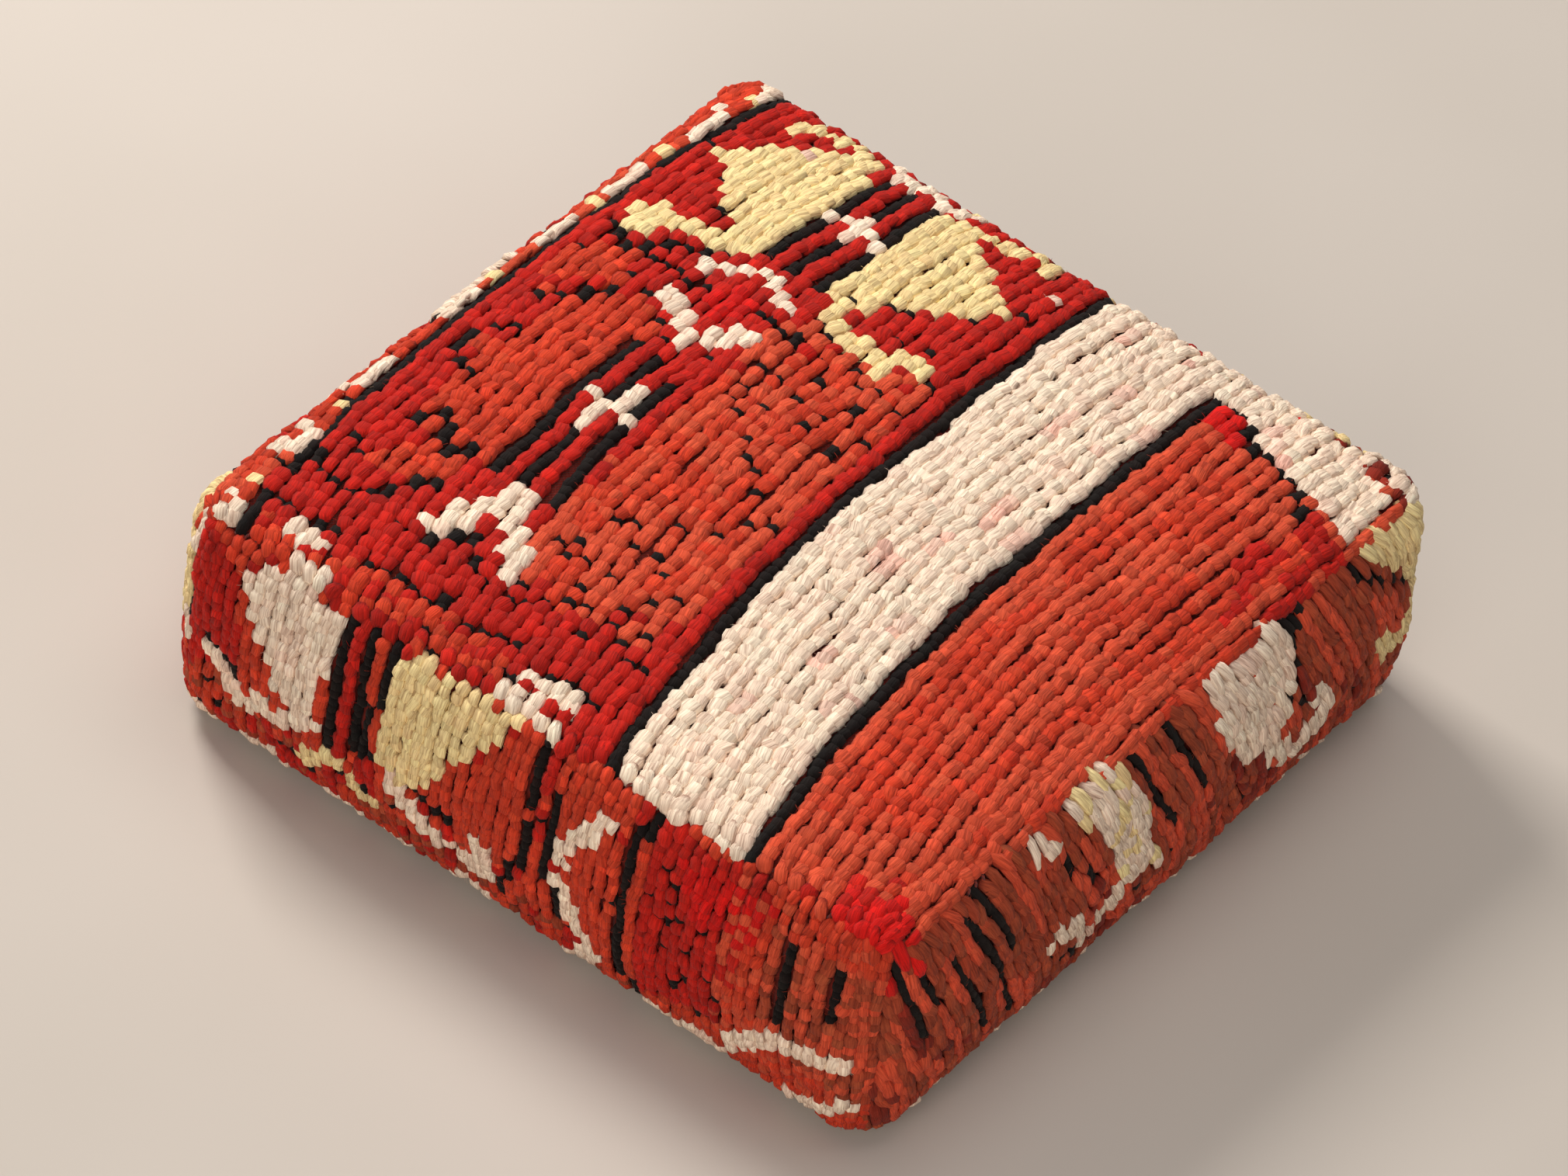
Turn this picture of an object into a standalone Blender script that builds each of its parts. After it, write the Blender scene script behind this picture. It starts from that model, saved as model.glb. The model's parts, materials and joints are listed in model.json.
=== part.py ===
"""Square floor cushion: a cover cut from a hand-knotted pile rug, zipped underneath, over a stuffed inner cushion.

Metres, +Z up, origin at the middle of the underside, on the floor. The front is -Y and the right is +X.
Depth means the distance inwards from the outermost rim of the cover, seen in plan.
"""

import math

import bmesh
import bpy
import numpy as np

# Cover: overall sizes
COVER_WIDTH = 0.600  # along X, from side seam to side seam
COVER_DEPTH = 0.600  # along Y
TOP_SEAM_HEIGHT = 0.195  # of the seam around the top panel
CROWN = 0.015  # rise of the top's middle over its seam
BASE_SEAM_HEIGHT = 0.012  # of the seam around the base
SIDE_BULGE = 0.013  # how far a side's middle swells past its seams
CORNER_BULGE_SHARE = 0.35  # of that swelling left at the upright corner seams
CORNER_RADIUS = 0.034

# Cover: cloth and seams
RUG_THICKNESS = 0.012  # knotted ground and the pile that lies on it
COTTON_THICKNESS = 0.0025  # lined canvas of the base
BASE_EDGE_RUN = 0.030  # width over which the base curls up to its seam
EDGE_SHIFT = 0.003  # how much sooner than the base the pieces on it curl up
SEAM_NOTCH = 0.004  # groove that a sewn seam sinks into
GAP = 0.0003  # between pieces that touch

# Zip, sewn across the middle of the base
ZIP_LENGTH = 0.420  # from the bottom stop to the far side of the top stops
ZIP_RISE = 0.006  # how far the seam is drawn up from the floor
ZIP_RUN = 0.025  # width over which it is drawn up
SLOT_WIDTH = 0.014  # between the hems of the base halves
SLOT_PAST_STOPS = 0.018  # open slot past the ends of the zip
SLOT_TAPER = 0.010  # where the open slot closes to a plain seam
TAPE_THICKNESS = 0.0008
TAPE_REACH = 0.020  # outer edge of each tape from the centre line
TAPE_PAST_SLOT = 0.006
CHAIN_THICKNESS = 0.0024
CHAIN_HALF_WIDTH = 0.0034  # from the centre line to the outside of the cord
CORD_WIDTH = 0.0012
TOOTH_PITCH = 0.005  # of one row; the other row sits half a pitch along
TOOTH_OVERLAP = 0.001  # how far a tooth reaches past the centre line
STOP_LENGTH = 0.003
STITCH_REACH = 0.013  # of the sewn rows from the centre line
FINE_THREAD_RADIUS = 0.0005

# Slider and its pull tab
SLIDER_LENGTH = 0.014
SLIDER_REAR_HALF_WIDTH = 0.0047
SLIDER_FRONT_HALF_WIDTH = 0.0056
SLIDER_PLATE = 0.0011
FLANGE_WIDTH = 0.0008
FLANGE_DROP = 0.00075
ARCH_LENGTH = 0.0064
ARCH_WIDTH = 0.0020
ARCH_BAR = 0.0009
TAB_THICKNESS = 0.0012
TAB_LENGTH = 0.024
TAB_RUNNING_GAP = 0.0004

# Inner cushion
CASE_THICKNESS = 0.0015
CASE_THREAD_RADIUS = 0.0006
FILL_ROOM = 0.0012  # between the filling and the band

# Values that follow from the ones above
HALF_X = COVER_WIDTH / 2
HALF_Y = COVER_DEPTH / 2
THREAD_RADIUS = SEAM_NOTCH / 2 - GAP
SLOT_HALF = SLOT_WIDTH / 2
SLOT_END = ZIP_LENGTH / 2 + SLOT_PAST_STOPS
CHAIN_Z = ZIP_RISE + COTTON_THICKNESS + GAP + TAPE_THICKNESS / 2
CHANNEL_HALF_HEIGHT = CHAIN_THICKNESS / 2 + GAP
SLIDER_HALF_HEIGHT = CHANNEL_HALF_HEIGHT + SLIDER_PLATE
SLIDER_X = ZIP_LENGTH / 2 - STOP_LENGTH - GAP - SLIDER_LENGTH / 2
ARCH_OPENING = TAB_THICKNESS * math.sqrt(2) + 2 * TAB_RUNNING_GAP
PIVOT_DROP = SLIDER_HALF_HEIGHT + ARCH_OPENING / 2
CASE_DEPTH = RUG_THICKNESS + GAP
CASE_NOTCH = 2 * (CASE_THREAD_RADIUS + GAP)
INNER_TOP = TOP_SEAM_HEIGHT - RUG_THICKNESS

# Rows of the grids, as distances from the zip's line: the slot, the tape, the drawn-up cotton
ZIP_ROWS = (
    SLOT_HALF,
    SLOT_HALF + 0.003,
    (SLOT_HALF + TAPE_REACH) / 2 + 0.0015,
    TAPE_REACH + 0.0005,
    TAPE_REACH + 0.004,
    SLOT_HALF + ZIP_RUN,
)
ARC_ANGLES = np.radians([0, 22.5, 45, 67.5, 90])
MIDDLE_COLUMNS = 6
MIDDLE_ROWS = 4


def clear_scene():
    """Removes whatever the scene holds."""
    for thing in list(bpy.data.objects):
        bpy.data.objects.remove(thing, do_unlink=True)


def material(name, colour, roughness, metallic=0.0):
    """A plain Principled material."""
    made = bpy.data.materials.new(name)
    made.use_nodes = True
    shader = made.node_tree.nodes["Principled BSDF"]
    shader.inputs["Base Color"].default_value = (*colour, 1)
    shader.inputs["Roughness"].default_value = roughness
    shader.inputs["Metallic"].default_value = metallic
    return made


def add_mesh(name, points, faces, finish, smooth=True):
    """Makes an object of a closed mesh, with its faces turned outwards."""
    mesh = bpy.data.meshes.new(name)
    mesh.from_pydata([tuple(point) for point in points], [], faces)
    work = bmesh.new()
    work.from_mesh(mesh)
    bmesh.ops.recalc_face_normals(work, faces=work.faces)
    work.to_mesh(mesh)
    work.free()
    if smooth:
        mesh.shade_smooth()
        mesh.set_sharp_from_angle(angle=math.radians(35))
    mesh.materials.append(finish)
    made = bpy.data.objects.new(name, mesh)
    bpy.context.collection.objects.link(made)
    return made


# Shape of the cushion


def depth_at(x, y):
    """Distance inwards from the rim, a rounded rectangle."""
    past_x = abs(x) - (HALF_X - CORNER_RADIUS)
    past_y = abs(y) - (HALF_Y - CORNER_RADIUS)
    outside = math.hypot(max(past_x, 0), max(past_y, 0))
    inside = min(max(past_x, past_y), 0)
    return CORNER_RADIUS - outside - inside


def crown(x, y):
    """Rise of the top over its seam."""
    across = 1 - min(abs(x) / HALF_X, 1) ** 2.6
    along = 1 - min(abs(y) / HALF_Y, 1) ** 2.6
    return CROWN * across * along


def edge_rise(depth):
    """Height of the base's underside where it curls up to the seam."""
    share = min(max((depth - SEAM_NOTCH) / BASE_EDGE_RUN, 0), 1)
    return BASE_SEAM_HEIGHT * (1 - share) ** 2


def zip_rise(y):
    """Height of the base's underside where the zip draws it up."""
    share = min(max((abs(y) - SLOT_HALF) / ZIP_RUN, 0), 1)
    return ZIP_RISE * (1 - share) ** 2


def underside(x, y):
    """Height of the base's outer face."""
    return max(edge_rise(depth_at(x, y)), zip_rise(y))


def case_underside(x, y):
    """Height of the inner cushion's outer face, which clears the zip."""
    over_slider = CHAIN_Z + SLIDER_HALF_HEIGHT - ZIP_RISE - COTTON_THICKNESS
    over_tape = TAPE_THICKNESS + GAP
    room = np.interp(abs(y), ZIP_ROWS[:5], (over_slider, over_tape, over_tape, over_tape, 0))
    rise = max(edge_rise(depth_at(x, y) - EDGE_SHIFT), zip_rise(y) + room)
    return rise + COTTON_THICKNESS + 2 * GAP


def swell(height, low, high):
    """Share of the bulge at a height: none at both seams, all of it half way."""
    return max(0.0, 1 - ((2 * height - low - high) / (high - low)) ** 2)


def bulge(core, normal):
    """How far the wall swells outwards half way up, at one place of the rim."""
    corner_reach = CORNER_RADIUS * (1 - math.cos(math.pi / 4))
    point = core + normal * CORNER_RADIUS
    if abs(normal[1]) >= abs(normal[0]) - 1e-9:
        share = point[0] / (HALF_X - corner_reach)
    else:
        share = point[1] / (HALF_Y - corner_reach)
    along = 1 - min(abs(share), 1) ** 4
    return SIDE_BULGE * (CORNER_BULGE_SHARE + (1 - CORNER_BULGE_SHARE) * along)


# Solids between two grids: the panels that lie flat


def grid_columns(inset, middle):
    """X of each column of a grid and the Y where its columns end, for an outline drawn in by inset."""
    radius = CORNER_RADIUS - inset
    arc_x = HALF_X - CORNER_RADIUS + radius * np.cos(ARC_ANGLES)
    arc_y = HALF_Y - CORNER_RADIUS + radius * np.sin(ARC_ANGLES)
    limits = np.full(len(middle), HALF_Y - inset)
    x = np.concatenate([-arc_x, middle, arc_x[::-1]])
    y = np.concatenate([arc_y, limits, arc_y[::-1]])
    return x, y


def outer_rows(limit):
    """Y of the rows between the zip's zone and the outline, closer together near the outline."""
    start = ZIP_ROWS[-1]
    shares = np.concatenate([np.linspace(0, 1, MIDDLE_ROWS + 1)[1:-1] * 0.86, (0.875, 0.93, 0.97, 1)])
    return start + shares * (limit - start)


def plan_grid(inset, middle):
    """Plan points of a whole panel: one row of the list for each column of the grid."""
    columns = []
    for x, limit in zip(*grid_columns(inset, middle)):
        half = np.concatenate([ZIP_ROWS, outer_rows(limit)])
        columns.append([(x, y) for y in np.concatenate([-half[::-1], (0.0,), half])])
    return columns


def half_plan_grid(inset, middle, side):
    """Plan points of a base half, whose inner edge follows the zip's slot; side is -1 or 1."""
    columns = []
    for x, limit in zip(*grid_columns(inset, middle)):
        edge = np.interp(abs(x), (SLOT_END, SLOT_END + SLOT_TAPER), (SLOT_HALF, GAP / 2))
        half = np.concatenate([(edge,), ZIP_ROWS[1:], outer_rows(limit)])
        columns.append([(x, side * y) for y in half])
    return columns


def middle_columns():
    """X of the columns between the corners, with one at each end of the zip's slot."""
    reach = HALF_X - CORNER_RADIUS
    between = np.linspace(-SLOT_END, SLOT_END, MIDDLE_COLUMNS + 1)
    ends = (-SLOT_END - SLOT_TAPER, SLOT_END + SLOT_TAPER)
    inner = sorted([*between, *ends])
    return np.array([x for x in inner if abs(x) < reach - 0.002])


def edge_loop(columns, rows):
    """Indices around the edge of a grid, as (column, row) pairs."""
    loop = [(i, 0) for i in range(columns)]
    loop += [(columns - 1, j) for j in range(1, rows)]
    loop += [(i, rows - 1) for i in range(columns - 2, -1, -1)]
    loop += [(0, j) for j in range(rows - 2, 0, -1)]
    return loop


def slab(name, upper, lower, finish, rings=()):
    """A closed solid between two grids of points of one size, with rings of points around its edge between them."""
    columns, rows = len(upper), len(upper[0])
    count = columns * rows
    points = [p for column in upper for p in column] + [p for column in lower for p in column]
    faces = []
    for i in range(columns - 1):
        for j in range(rows - 1):
            a, b = i * rows + j, (i + 1) * rows + j
            faces.append((a, b, b + 1, a + 1))
            faces.append((count + a, count + a + 1, count + b + 1, count + b))
    loop = [i * rows + j for i, j in edge_loop(columns, rows)]
    bands = [loop]
    for ring in rings:
        bands.append(list(range(len(points), len(points) + len(ring))))
        points += ring
    bands.append([count + index for index in loop])
    for first, second in zip(bands, bands[1:]):
        for k in range(len(loop)):
            after = (k + 1) % len(loop)
            faces.append((first[k], second[k], second[after], first[after]))
    return add_mesh(name, points, faces, finish)


def lifted(plan, height):
    """Gives plan points their height, by a function of x and y."""
    return [[(x, y, height(x, y)) for x, y in column] for column in plan]


def ring_of(plan, height):
    """The edge of a grid as a ring, at one height."""
    loop = edge_loop(len(plan), len(plan[0]))
    return [(*plan[i][j], height) for i, j in loop]


def swollen_ring(plan, inset, height):
    """The edge of a grid, pushed out as the inner face of the wall bulges at that height."""
    ring = []
    for i, j in edge_loop(len(plan), len(plan[0])):
        point = np.array(plan[i][j])
        limit = np.array((HALF_X - CORNER_RADIUS, HALF_Y - CORNER_RADIUS))
        core = np.clip(point, -limit, limit)
        normal = (point - core) / np.linalg.norm(point - core)
        out = CORNER_RADIUS - inset + bulge(core, normal) * inner_swell(height)
        ring.append((*(core + normal * out), height))
    return ring


# Solids swept around the rim: the side panels, the seams and the inner cushion's band


def side_rim(side):
    """Cores and outward normals along one side (0 front, 1 right, 2 back, 3 left), from corner to corner."""
    turn = math.radians(90 * side - 90)
    corner = math.pi / 4
    notch_angle = math.asin(SEAM_NOTCH / CORNER_RADIUS)
    bends = [*np.linspace(0, corner - notch_angle, 4), corner]
    reach = np.array((HALF_X, HALF_Y) if side % 2 == 0 else (HALF_Y, HALF_X)) - CORNER_RADIUS
    samples = [(-reach[0], -bend) for bend in reversed(bends)]
    samples += [(along, 0.0) for along in np.linspace(-reach[0], reach[0], 9)[1:-1]]
    samples += [(reach[0], bend) for bend in bends]
    outwards = np.array((math.cos(turn), math.sin(turn)))
    tangent = np.array((-outwards[1], outwards[0]))
    cores = [tangent * along + outwards * reach[1] for along, _ in samples]
    normals = [outwards * math.cos(bend) + tangent * math.sin(bend) for _, bend in samples]
    return cores, normals


def whole_rim():
    """Cores and normals all the way round."""
    cores, normals = [], []
    for side in range(4):
        side_cores, side_normals = side_rim(side)
        cores += side_cores[:-1]
        normals += side_normals[:-1]
    return cores, normals


def swept(name, sections, closed, finish):
    """A solid through rings of points, closed on itself or capped at both ends."""
    size = len(sections[0])
    points = [point for section in sections for point in section]
    faces = []
    last = len(sections) if closed else len(sections) - 1
    for k in range(last):
        here, there = k * size, (k + 1) % len(sections) * size
        for m in range(size):
            after = (m + 1) % size
            faces.append((here + m, here + after, there + after, there + m))
    if not closed:
        faces.append(tuple(range(size)))
        faces.append(tuple(range((len(sections) - 1) * size, len(sections) * size)))
    return add_mesh(name, points, faces, finish)


def section_at(section, core, normal, shift=0.0, least_depth=0.0):
    """Places a section of (depth, height, swell) points at one place of the rim."""
    out = bulge(core, normal)
    tangent = np.array((-normal[1], normal[0]))
    placed = []
    for depth, height, share in section:
        radius = CORNER_RADIUS - max(depth, least_depth) + out * share
        placed.append((*(core + normal * radius + tangent * shift), height))
    return placed


def inner_levels():
    """Heights at which the inner face of the side panels bends, from its foot up."""
    foot = max(edge_rise(RUG_THICKNESS - EDGE_SHIFT), ZIP_RISE) + COTTON_THICKNESS + GAP
    return np.linspace(foot, INNER_TOP - GAP * math.sqrt(2), 7)


def inner_swell(height):
    """Share of the bulge on the inner face, straight between its levels, which what lies on it follows."""
    levels = inner_levels()
    shares = [swell(level, levels[0], levels[-1]) for level in levels]
    return float(np.interp(height, levels, shares))


def side_section():
    """Section of a side panel: outer face, top mitre, inner face and the foot on the base's edge."""
    low, high = BASE_SEAM_HEIGHT, TOP_SEAM_HEIGHT
    outer = np.linspace(low + SEAM_NOTCH, high - SEAM_NOTCH, 8)
    points = [(0.0, z, swell(z, low, high)) for z in outer]
    points.append((SEAM_NOTCH, high - SEAM_NOTCH - GAP * math.sqrt(2), 0.0))
    points += [(RUG_THICKNESS, z, inner_swell(z)) for z in inner_levels()[::-1]]
    points.append((SEAM_NOTCH, low + COTTON_THICKNESS + 2 * GAP, 0.0))
    points.append((SEAM_NOTCH, low + SEAM_NOTCH, 0.0))
    return points


def round_section(depth, height, radius, sides=8):
    """A round section, as (depth, height, swell) points."""
    turns = np.arange(sides) * 2 * math.pi / sides
    return [(depth + radius * math.cos(a), height + radius * math.sin(a), 0.0) for a in turns]


# Cover


def build_top_panel(finish):
    """Top panel of rug, mitred at its edge for the side panels."""
    middle = middle_columns()
    upper = lifted(plan_grid(SEAM_NOTCH, middle), lambda x, y: TOP_SEAM_HEIGHT + crown(x, y))
    lower = lifted(plan_grid(RUG_THICKNESS, middle), lambda x, y: INNER_TOP + crown(x, y))
    notch = ring_of(plan_grid(SEAM_NOTCH, middle), TOP_SEAM_HEIGHT - SEAM_NOTCH)
    slab("top_panel", upper, lower, finish, [notch])


def build_side_panels(finish):
    """Four side panels of rug, each grooved at its ends for the corner seams."""
    section = side_section()
    for side, place in enumerate(("front", "right", "back", "left")):
        cores, normals = side_rim(side)
        rings = [section_at(section, cores[0], normals[0], GAP / 2, SEAM_NOTCH)]
        for core, normal in zip(cores[1:-1], normals[1:-1]):
            rings.append(section_at(section, core, normal))
        rings.append(section_at(section, cores[-1], normals[-1], -GAP / 2, SEAM_NOTCH))
        swept(f"side_panel_{place}", rings, False, finish)


def build_ring(name, section, finish):
    """A ring around the whole rim with one section."""
    rings = [section_at(section, core, normal) for core, normal in zip(*whole_rim())]
    swept(name, rings, True, finish)


def build_rim_threads(finish):
    """Sewing threads that join the side panels to the top panel and to the base."""
    middle = SEAM_NOTCH / 2
    top = round_section(middle, TOP_SEAM_HEIGHT - middle, THREAD_RADIUS)
    base = round_section(middle, BASE_SEAM_HEIGHT + middle, THREAD_RADIUS)
    build_ring("top_seam_thread", top, finish)
    build_ring("base_seam_thread", base, finish)


def thread_curve(name, points, radius, finish):
    """A straight or gently curved thread as a bevelled curve with filled caps."""
    curve = bpy.data.curves.new(name, "CURVE")
    curve.dimensions = "3D"
    curve.bevel_depth = radius
    curve.bevel_resolution = 1
    curve.use_fill_caps = True
    spline = curve.splines.new("POLY")
    spline.points.add(len(points) - 1)
    for target, point in zip(spline.points, points):
        target.co = (*point, 1)
    curve.materials.append(finish)
    made = bpy.data.objects.new(name, curve)
    bpy.context.collection.objects.link(made)


def build_corner_threads(finish):
    """Threads of the four upright seams, each in the groove between two side panels."""
    sink = SEAM_NOTCH - math.sqrt(2) * (THREAD_RADIUS + GAP)
    low, high = BASE_SEAM_HEIGHT, TOP_SEAM_HEIGHT
    names = ("front_left", "front_right", "back_right", "back_left")
    for side, place in enumerate(names):
        cores, normals = side_rim(side)
        core, normal = cores[0], normals[0]
        path = []
        for z in np.linspace(low + SEAM_NOTCH + GAP, high - SEAM_NOTCH - GAP, 9):
            out = CORNER_RADIUS - sink + bulge(core, normal) * swell(z, low, high)
            path.append((*(core + normal * out), z))
        thread_curve(f"corner_seam_thread_{place}", path, THREAD_RADIUS, finish)


def build_base(finish):
    """The two cotton halves of the base, either side of the zip."""
    middle = middle_columns()
    for side, place in ((-1, "front"), (1, "back")):
        plan = half_plan_grid(SEAM_NOTCH, middle, side)
        lower = lifted(plan, underside)
        upper = lifted(plan, lambda x, y: underside(x, y) + COTTON_THICKNESS)
        slab(f"base_panel_{place}", upper, lower, finish)


def build_closing_threads(finish):
    """Threads that close the base past both ends of the zip."""
    level_reach = BASE_EDGE_RUN * (1 - math.sqrt(min(ZIP_RISE / BASE_SEAM_HEIGHT, 1)))
    start = SLOT_END + SLOT_TAPER
    end = HALF_X - SEAM_NOTCH - level_reach
    height = ZIP_RISE - GAP - FINE_THREAD_RADIUS
    for sign, place in ((-1, "left"), (1, "right")):
        path = [(sign * x, 0, height) for x in np.linspace(start, end, 3)]
        thread_curve(f"closing_seam_thread_{place}", path, FINE_THREAD_RADIUS, finish)


# Zip


def extruded(name, outline, low, high, finish, smooth=False):
    """A flat outline in plan, as a solid between two heights."""
    count = len(outline)
    points = [(x, y, low) for x, y in outline] + [(x, y, high) for x, y in outline]
    faces = [tuple(range(count)), tuple(range(2 * count - 1, count - 1, -1))]
    faces += [(k, (k + 1) % count, (k + 1) % count + count, k + count) for k in range(count)]
    return add_mesh(name, points, faces, finish, smooth)


def box(name, low, high, finish):
    """A box between two corners."""
    outline = [(low[0], low[1]), (high[0], low[1]), (high[0], high[1]), (low[0], high[1])]
    return extruded(name, outline, low[2], high[2], finish)


def build_tapes(finish):
    """Zip tapes, lying on the inside of the base halves."""
    inner = CHAIN_HALF_WIDTH + GAP
    rows = [inner, *(y for y in ZIP_ROWS if y < TAPE_REACH), TAPE_REACH]
    heights = [np.interp(y, ZIP_ROWS, [zip_rise(row) for row in ZIP_ROWS]) for y in rows]
    floor = [height + COTTON_THICKNESS + GAP for height in heights]
    section = list(zip(rows, floor)) + [(y, z + TAPE_THICKNESS) for y, z in zip(rows[::-1], floor[::-1])]
    reach = SLOT_END + TAPE_PAST_SLOT
    for side, place in ((-1, "front"), (1, "back")):
        rings = [[(x, side * y, z) for y, z in section] for x in (-reach, 0, reach)]
        swept(f"zip_tape_{place}", rings, False, finish)


def chain_outline(side):
    """Outline of one row of teeth on its cord; side is -1 or 1, and its teeth point across the centre line."""
    start = -ZIP_LENGTH / 2 + STOP_LENGTH + GAP
    end = SLIDER_X + SLIDER_LENGTH / 2
    last_tooth = SLIDER_X - TOOTH_PITCH
    cord_inner = CHAIN_HALF_WIDTH - CORD_WIDTH
    tooth_width = TOOTH_PITCH / 2 - GAP
    first = start + (0 if side < 0 else TOOTH_PITCH / 2)
    count = int((last_tooth - start) / TOOTH_PITCH)
    outline = [(end, side * cord_inner), (end, side * CHAIN_HALF_WIDTH), (start, side * CHAIN_HALF_WIDTH)]
    if side > 0:
        outline.append((start, side * cord_inner))
    for tooth in range(count):
        x = first + tooth * TOOTH_PITCH
        if tooth or side > 0:
            outline.append((x, side * cord_inner))
        outline.append((x, -side * TOOTH_OVERLAP))
        outline.append((x + tooth_width, -side * TOOTH_OVERLAP))
        outline.append((x + tooth_width, side * cord_inner))
    return outline


def build_chain(finish):
    """The two rows of teeth, meshed, and the stops at both ends."""
    low, high = CHAIN_Z - CHAIN_THICKNESS / 2, CHAIN_Z + CHAIN_THICKNESS / 2
    for side, place in ((-1, "front"), (1, "back")):
        extruded(f"zip_chain_{place}", chain_outline(side), low, high, finish)
        near, far = sorted((side * TOOTH_OVERLAP, side * CHAIN_HALF_WIDTH))
        stop_start = ZIP_LENGTH / 2 - STOP_LENGTH
        box(f"zip_top_stop_{place}", (stop_start, near, low), (ZIP_LENGTH / 2, far, high), finish)
    start = -ZIP_LENGTH / 2
    low_corner = (start, -CHAIN_HALF_WIDTH, low)
    box("zip_bottom_stop", low_corner, (start + STOP_LENGTH, CHAIN_HALF_WIDTH, high), finish)


def hide_cutter(thing):
    """Marks an object as a shape that only serves a Boolean."""
    thing.hide_render = True
    thing.display_type = "WIRE"


def joined(base, others, operation="UNION"):
    """Adds a Boolean for each of the other shapes to the base shape."""
    for other in others:
        hide_cutter(other)
        step = base.modifiers.new(other.name, "BOOLEAN")
        step.operation = operation
        step.solver = "EXACT"
        step.object = other
    return base


def slider_outline():
    """Plan of a slider plate, narrower at the rear."""
    half = SLIDER_LENGTH / 2
    right = [
        (-half, SLIDER_REAR_HALF_WIDTH - 0.0003),
        (-half + 0.001, SLIDER_REAR_HALF_WIDTH),
        (0.0, SLIDER_REAR_HALF_WIDTH),
        (half * 0.5, SLIDER_FRONT_HALF_WIDTH),
        (half - 0.0015, SLIDER_FRONT_HALF_WIDTH),
        (half, SLIDER_FRONT_HALF_WIDTH - 0.0012),
    ]
    return [(x, -y) for x, y in right] + [(x, y) for x, y in reversed(right)]


def build_slider(finish):
    """Slider: two plates held together by the wedge that parts the teeth, side flanges, and the arch for the tab."""
    outline = slider_outline()
    inner, outer = CHANNEL_HALF_HEIGHT, SLIDER_HALF_HEIGHT
    into_plate = inner + SLIDER_PLATE / 2
    half = SLIDER_LENGTH / 2
    lower_plate = extruded("zip_slider", outline, -outer, -inner, finish)
    upper_plate = extruded("slider_upper_plate", outline, inner, outer, finish)
    wedge_outline = [(0.001, 0.0), (half / 2, -0.0015), (half - 0.0006, -0.0015)]
    wedge_outline += [(x, -y) for x, y in reversed(wedge_outline[1:])]
    wedge = extruded("slider_wedge", wedge_outline, -into_plate, into_plate, finish)
    pieces = [wedge, upper_plate]
    side = outline[len(outline) // 2 :]
    flange = side + [(x, y - FLANGE_WIDTH) for x, y in reversed(side)]
    for sign in (-1, 1):
        edge = [(x, sign * y) for x, y in flange]
        pieces.append(extruded(f"slider_lower_flange_{sign}", edge, -into_plate, -FLANGE_DROP, finish))
        pieces.append(extruded(f"slider_upper_flange_{sign}", edge, FLANGE_DROP, into_plate, finish))
    reach, width = ARCH_LENGTH / 2, ARCH_WIDTH / 2
    bottom = -outer - ARCH_OPENING - ARCH_BAR
    profile = [(-reach, -into_plate), (-reach, bottom), (reach, bottom), (reach, -into_plate)]
    opening = -outer - ARCH_OPENING
    inside = reach - ARCH_BAR
    profile += [(inside, -into_plate), (inside, opening), (-inside, opening), (-inside, -into_plate)]
    arch = swept("slider_arch", [[(x, y, z) for x, z in profile] for y in (-width, width)], False, finish)
    pieces.append(arch)
    joined(lower_plate, pieces)
    guide = bpy.data.objects.new("zip_travel", None)
    guide.location = (SLIDER_X, 0, CHAIN_Z)
    bpy.context.collection.objects.link(guide)
    for piece in [lower_plate, *pieces]:
        piece.parent = guide
    return guide


def build_tab(guide, finish):
    """Pull tab, whose window turns around the slider's arch; its origin is on the hinge line."""
    arch_corner = math.hypot(ARCH_LENGTH / 2, ARCH_OPENING / 2 + ARCH_BAR)
    window_end = arch_corner + TAB_RUNNING_GAP
    window_half = ARCH_WIDTH / 2 + TAB_RUNNING_GAP
    half_width = window_half + 0.0013
    half = TAB_THICKNESS / 2
    tip = TAB_LENGTH - half_width
    turns = np.linspace(-math.pi / 2, math.pi / 2, 9)
    round_end = [(-tip - half_width * math.cos(a), -half_width * math.sin(a)) for a in turns]
    outline = [(half, half_width), *round_end, (half, -half_width)]
    tab = extruded("zip_pull_tab", outline, -half, half, finish)
    window_low = (-window_end, -window_half, -TAB_THICKNESS)
    window = box("tab_window", window_low, (-half, window_half, TAB_THICKNESS), finish)
    joined(tab, [window], "DIFFERENCE")
    hinge = bpy.data.objects.new("tab_hinge", None)
    hinge.location = (0, 0, -PIVOT_DROP)
    hinge.parent = guide
    bpy.context.collection.objects.link(hinge)
    for piece in (tab, window):
        piece.parent = hinge


def build_stitching(finish):
    """Sewn rows that hold each tape to its base half, seen from below."""
    slope = (zip_rise(STITCH_REACH - 0.001) - zip_rise(STITCH_REACH + 0.001)) / 0.002
    clear = (GAP + FINE_THREAD_RADIUS) * math.hypot(1, slope)
    rows = [zip_rise(row) for row in ZIP_ROWS]
    height = float(np.interp(STITCH_REACH, ZIP_ROWS, rows)) - clear
    reach = SLOT_END
    for side, place in ((-1, "front"), (1, "back")):
        path = [(x, side * STITCH_REACH, height) for x in np.linspace(-reach, reach, 3)]
        thread_curve(f"zip_stitching_{place}", path, FINE_THREAD_RADIUS, finish)


# Inner cushion


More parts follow.
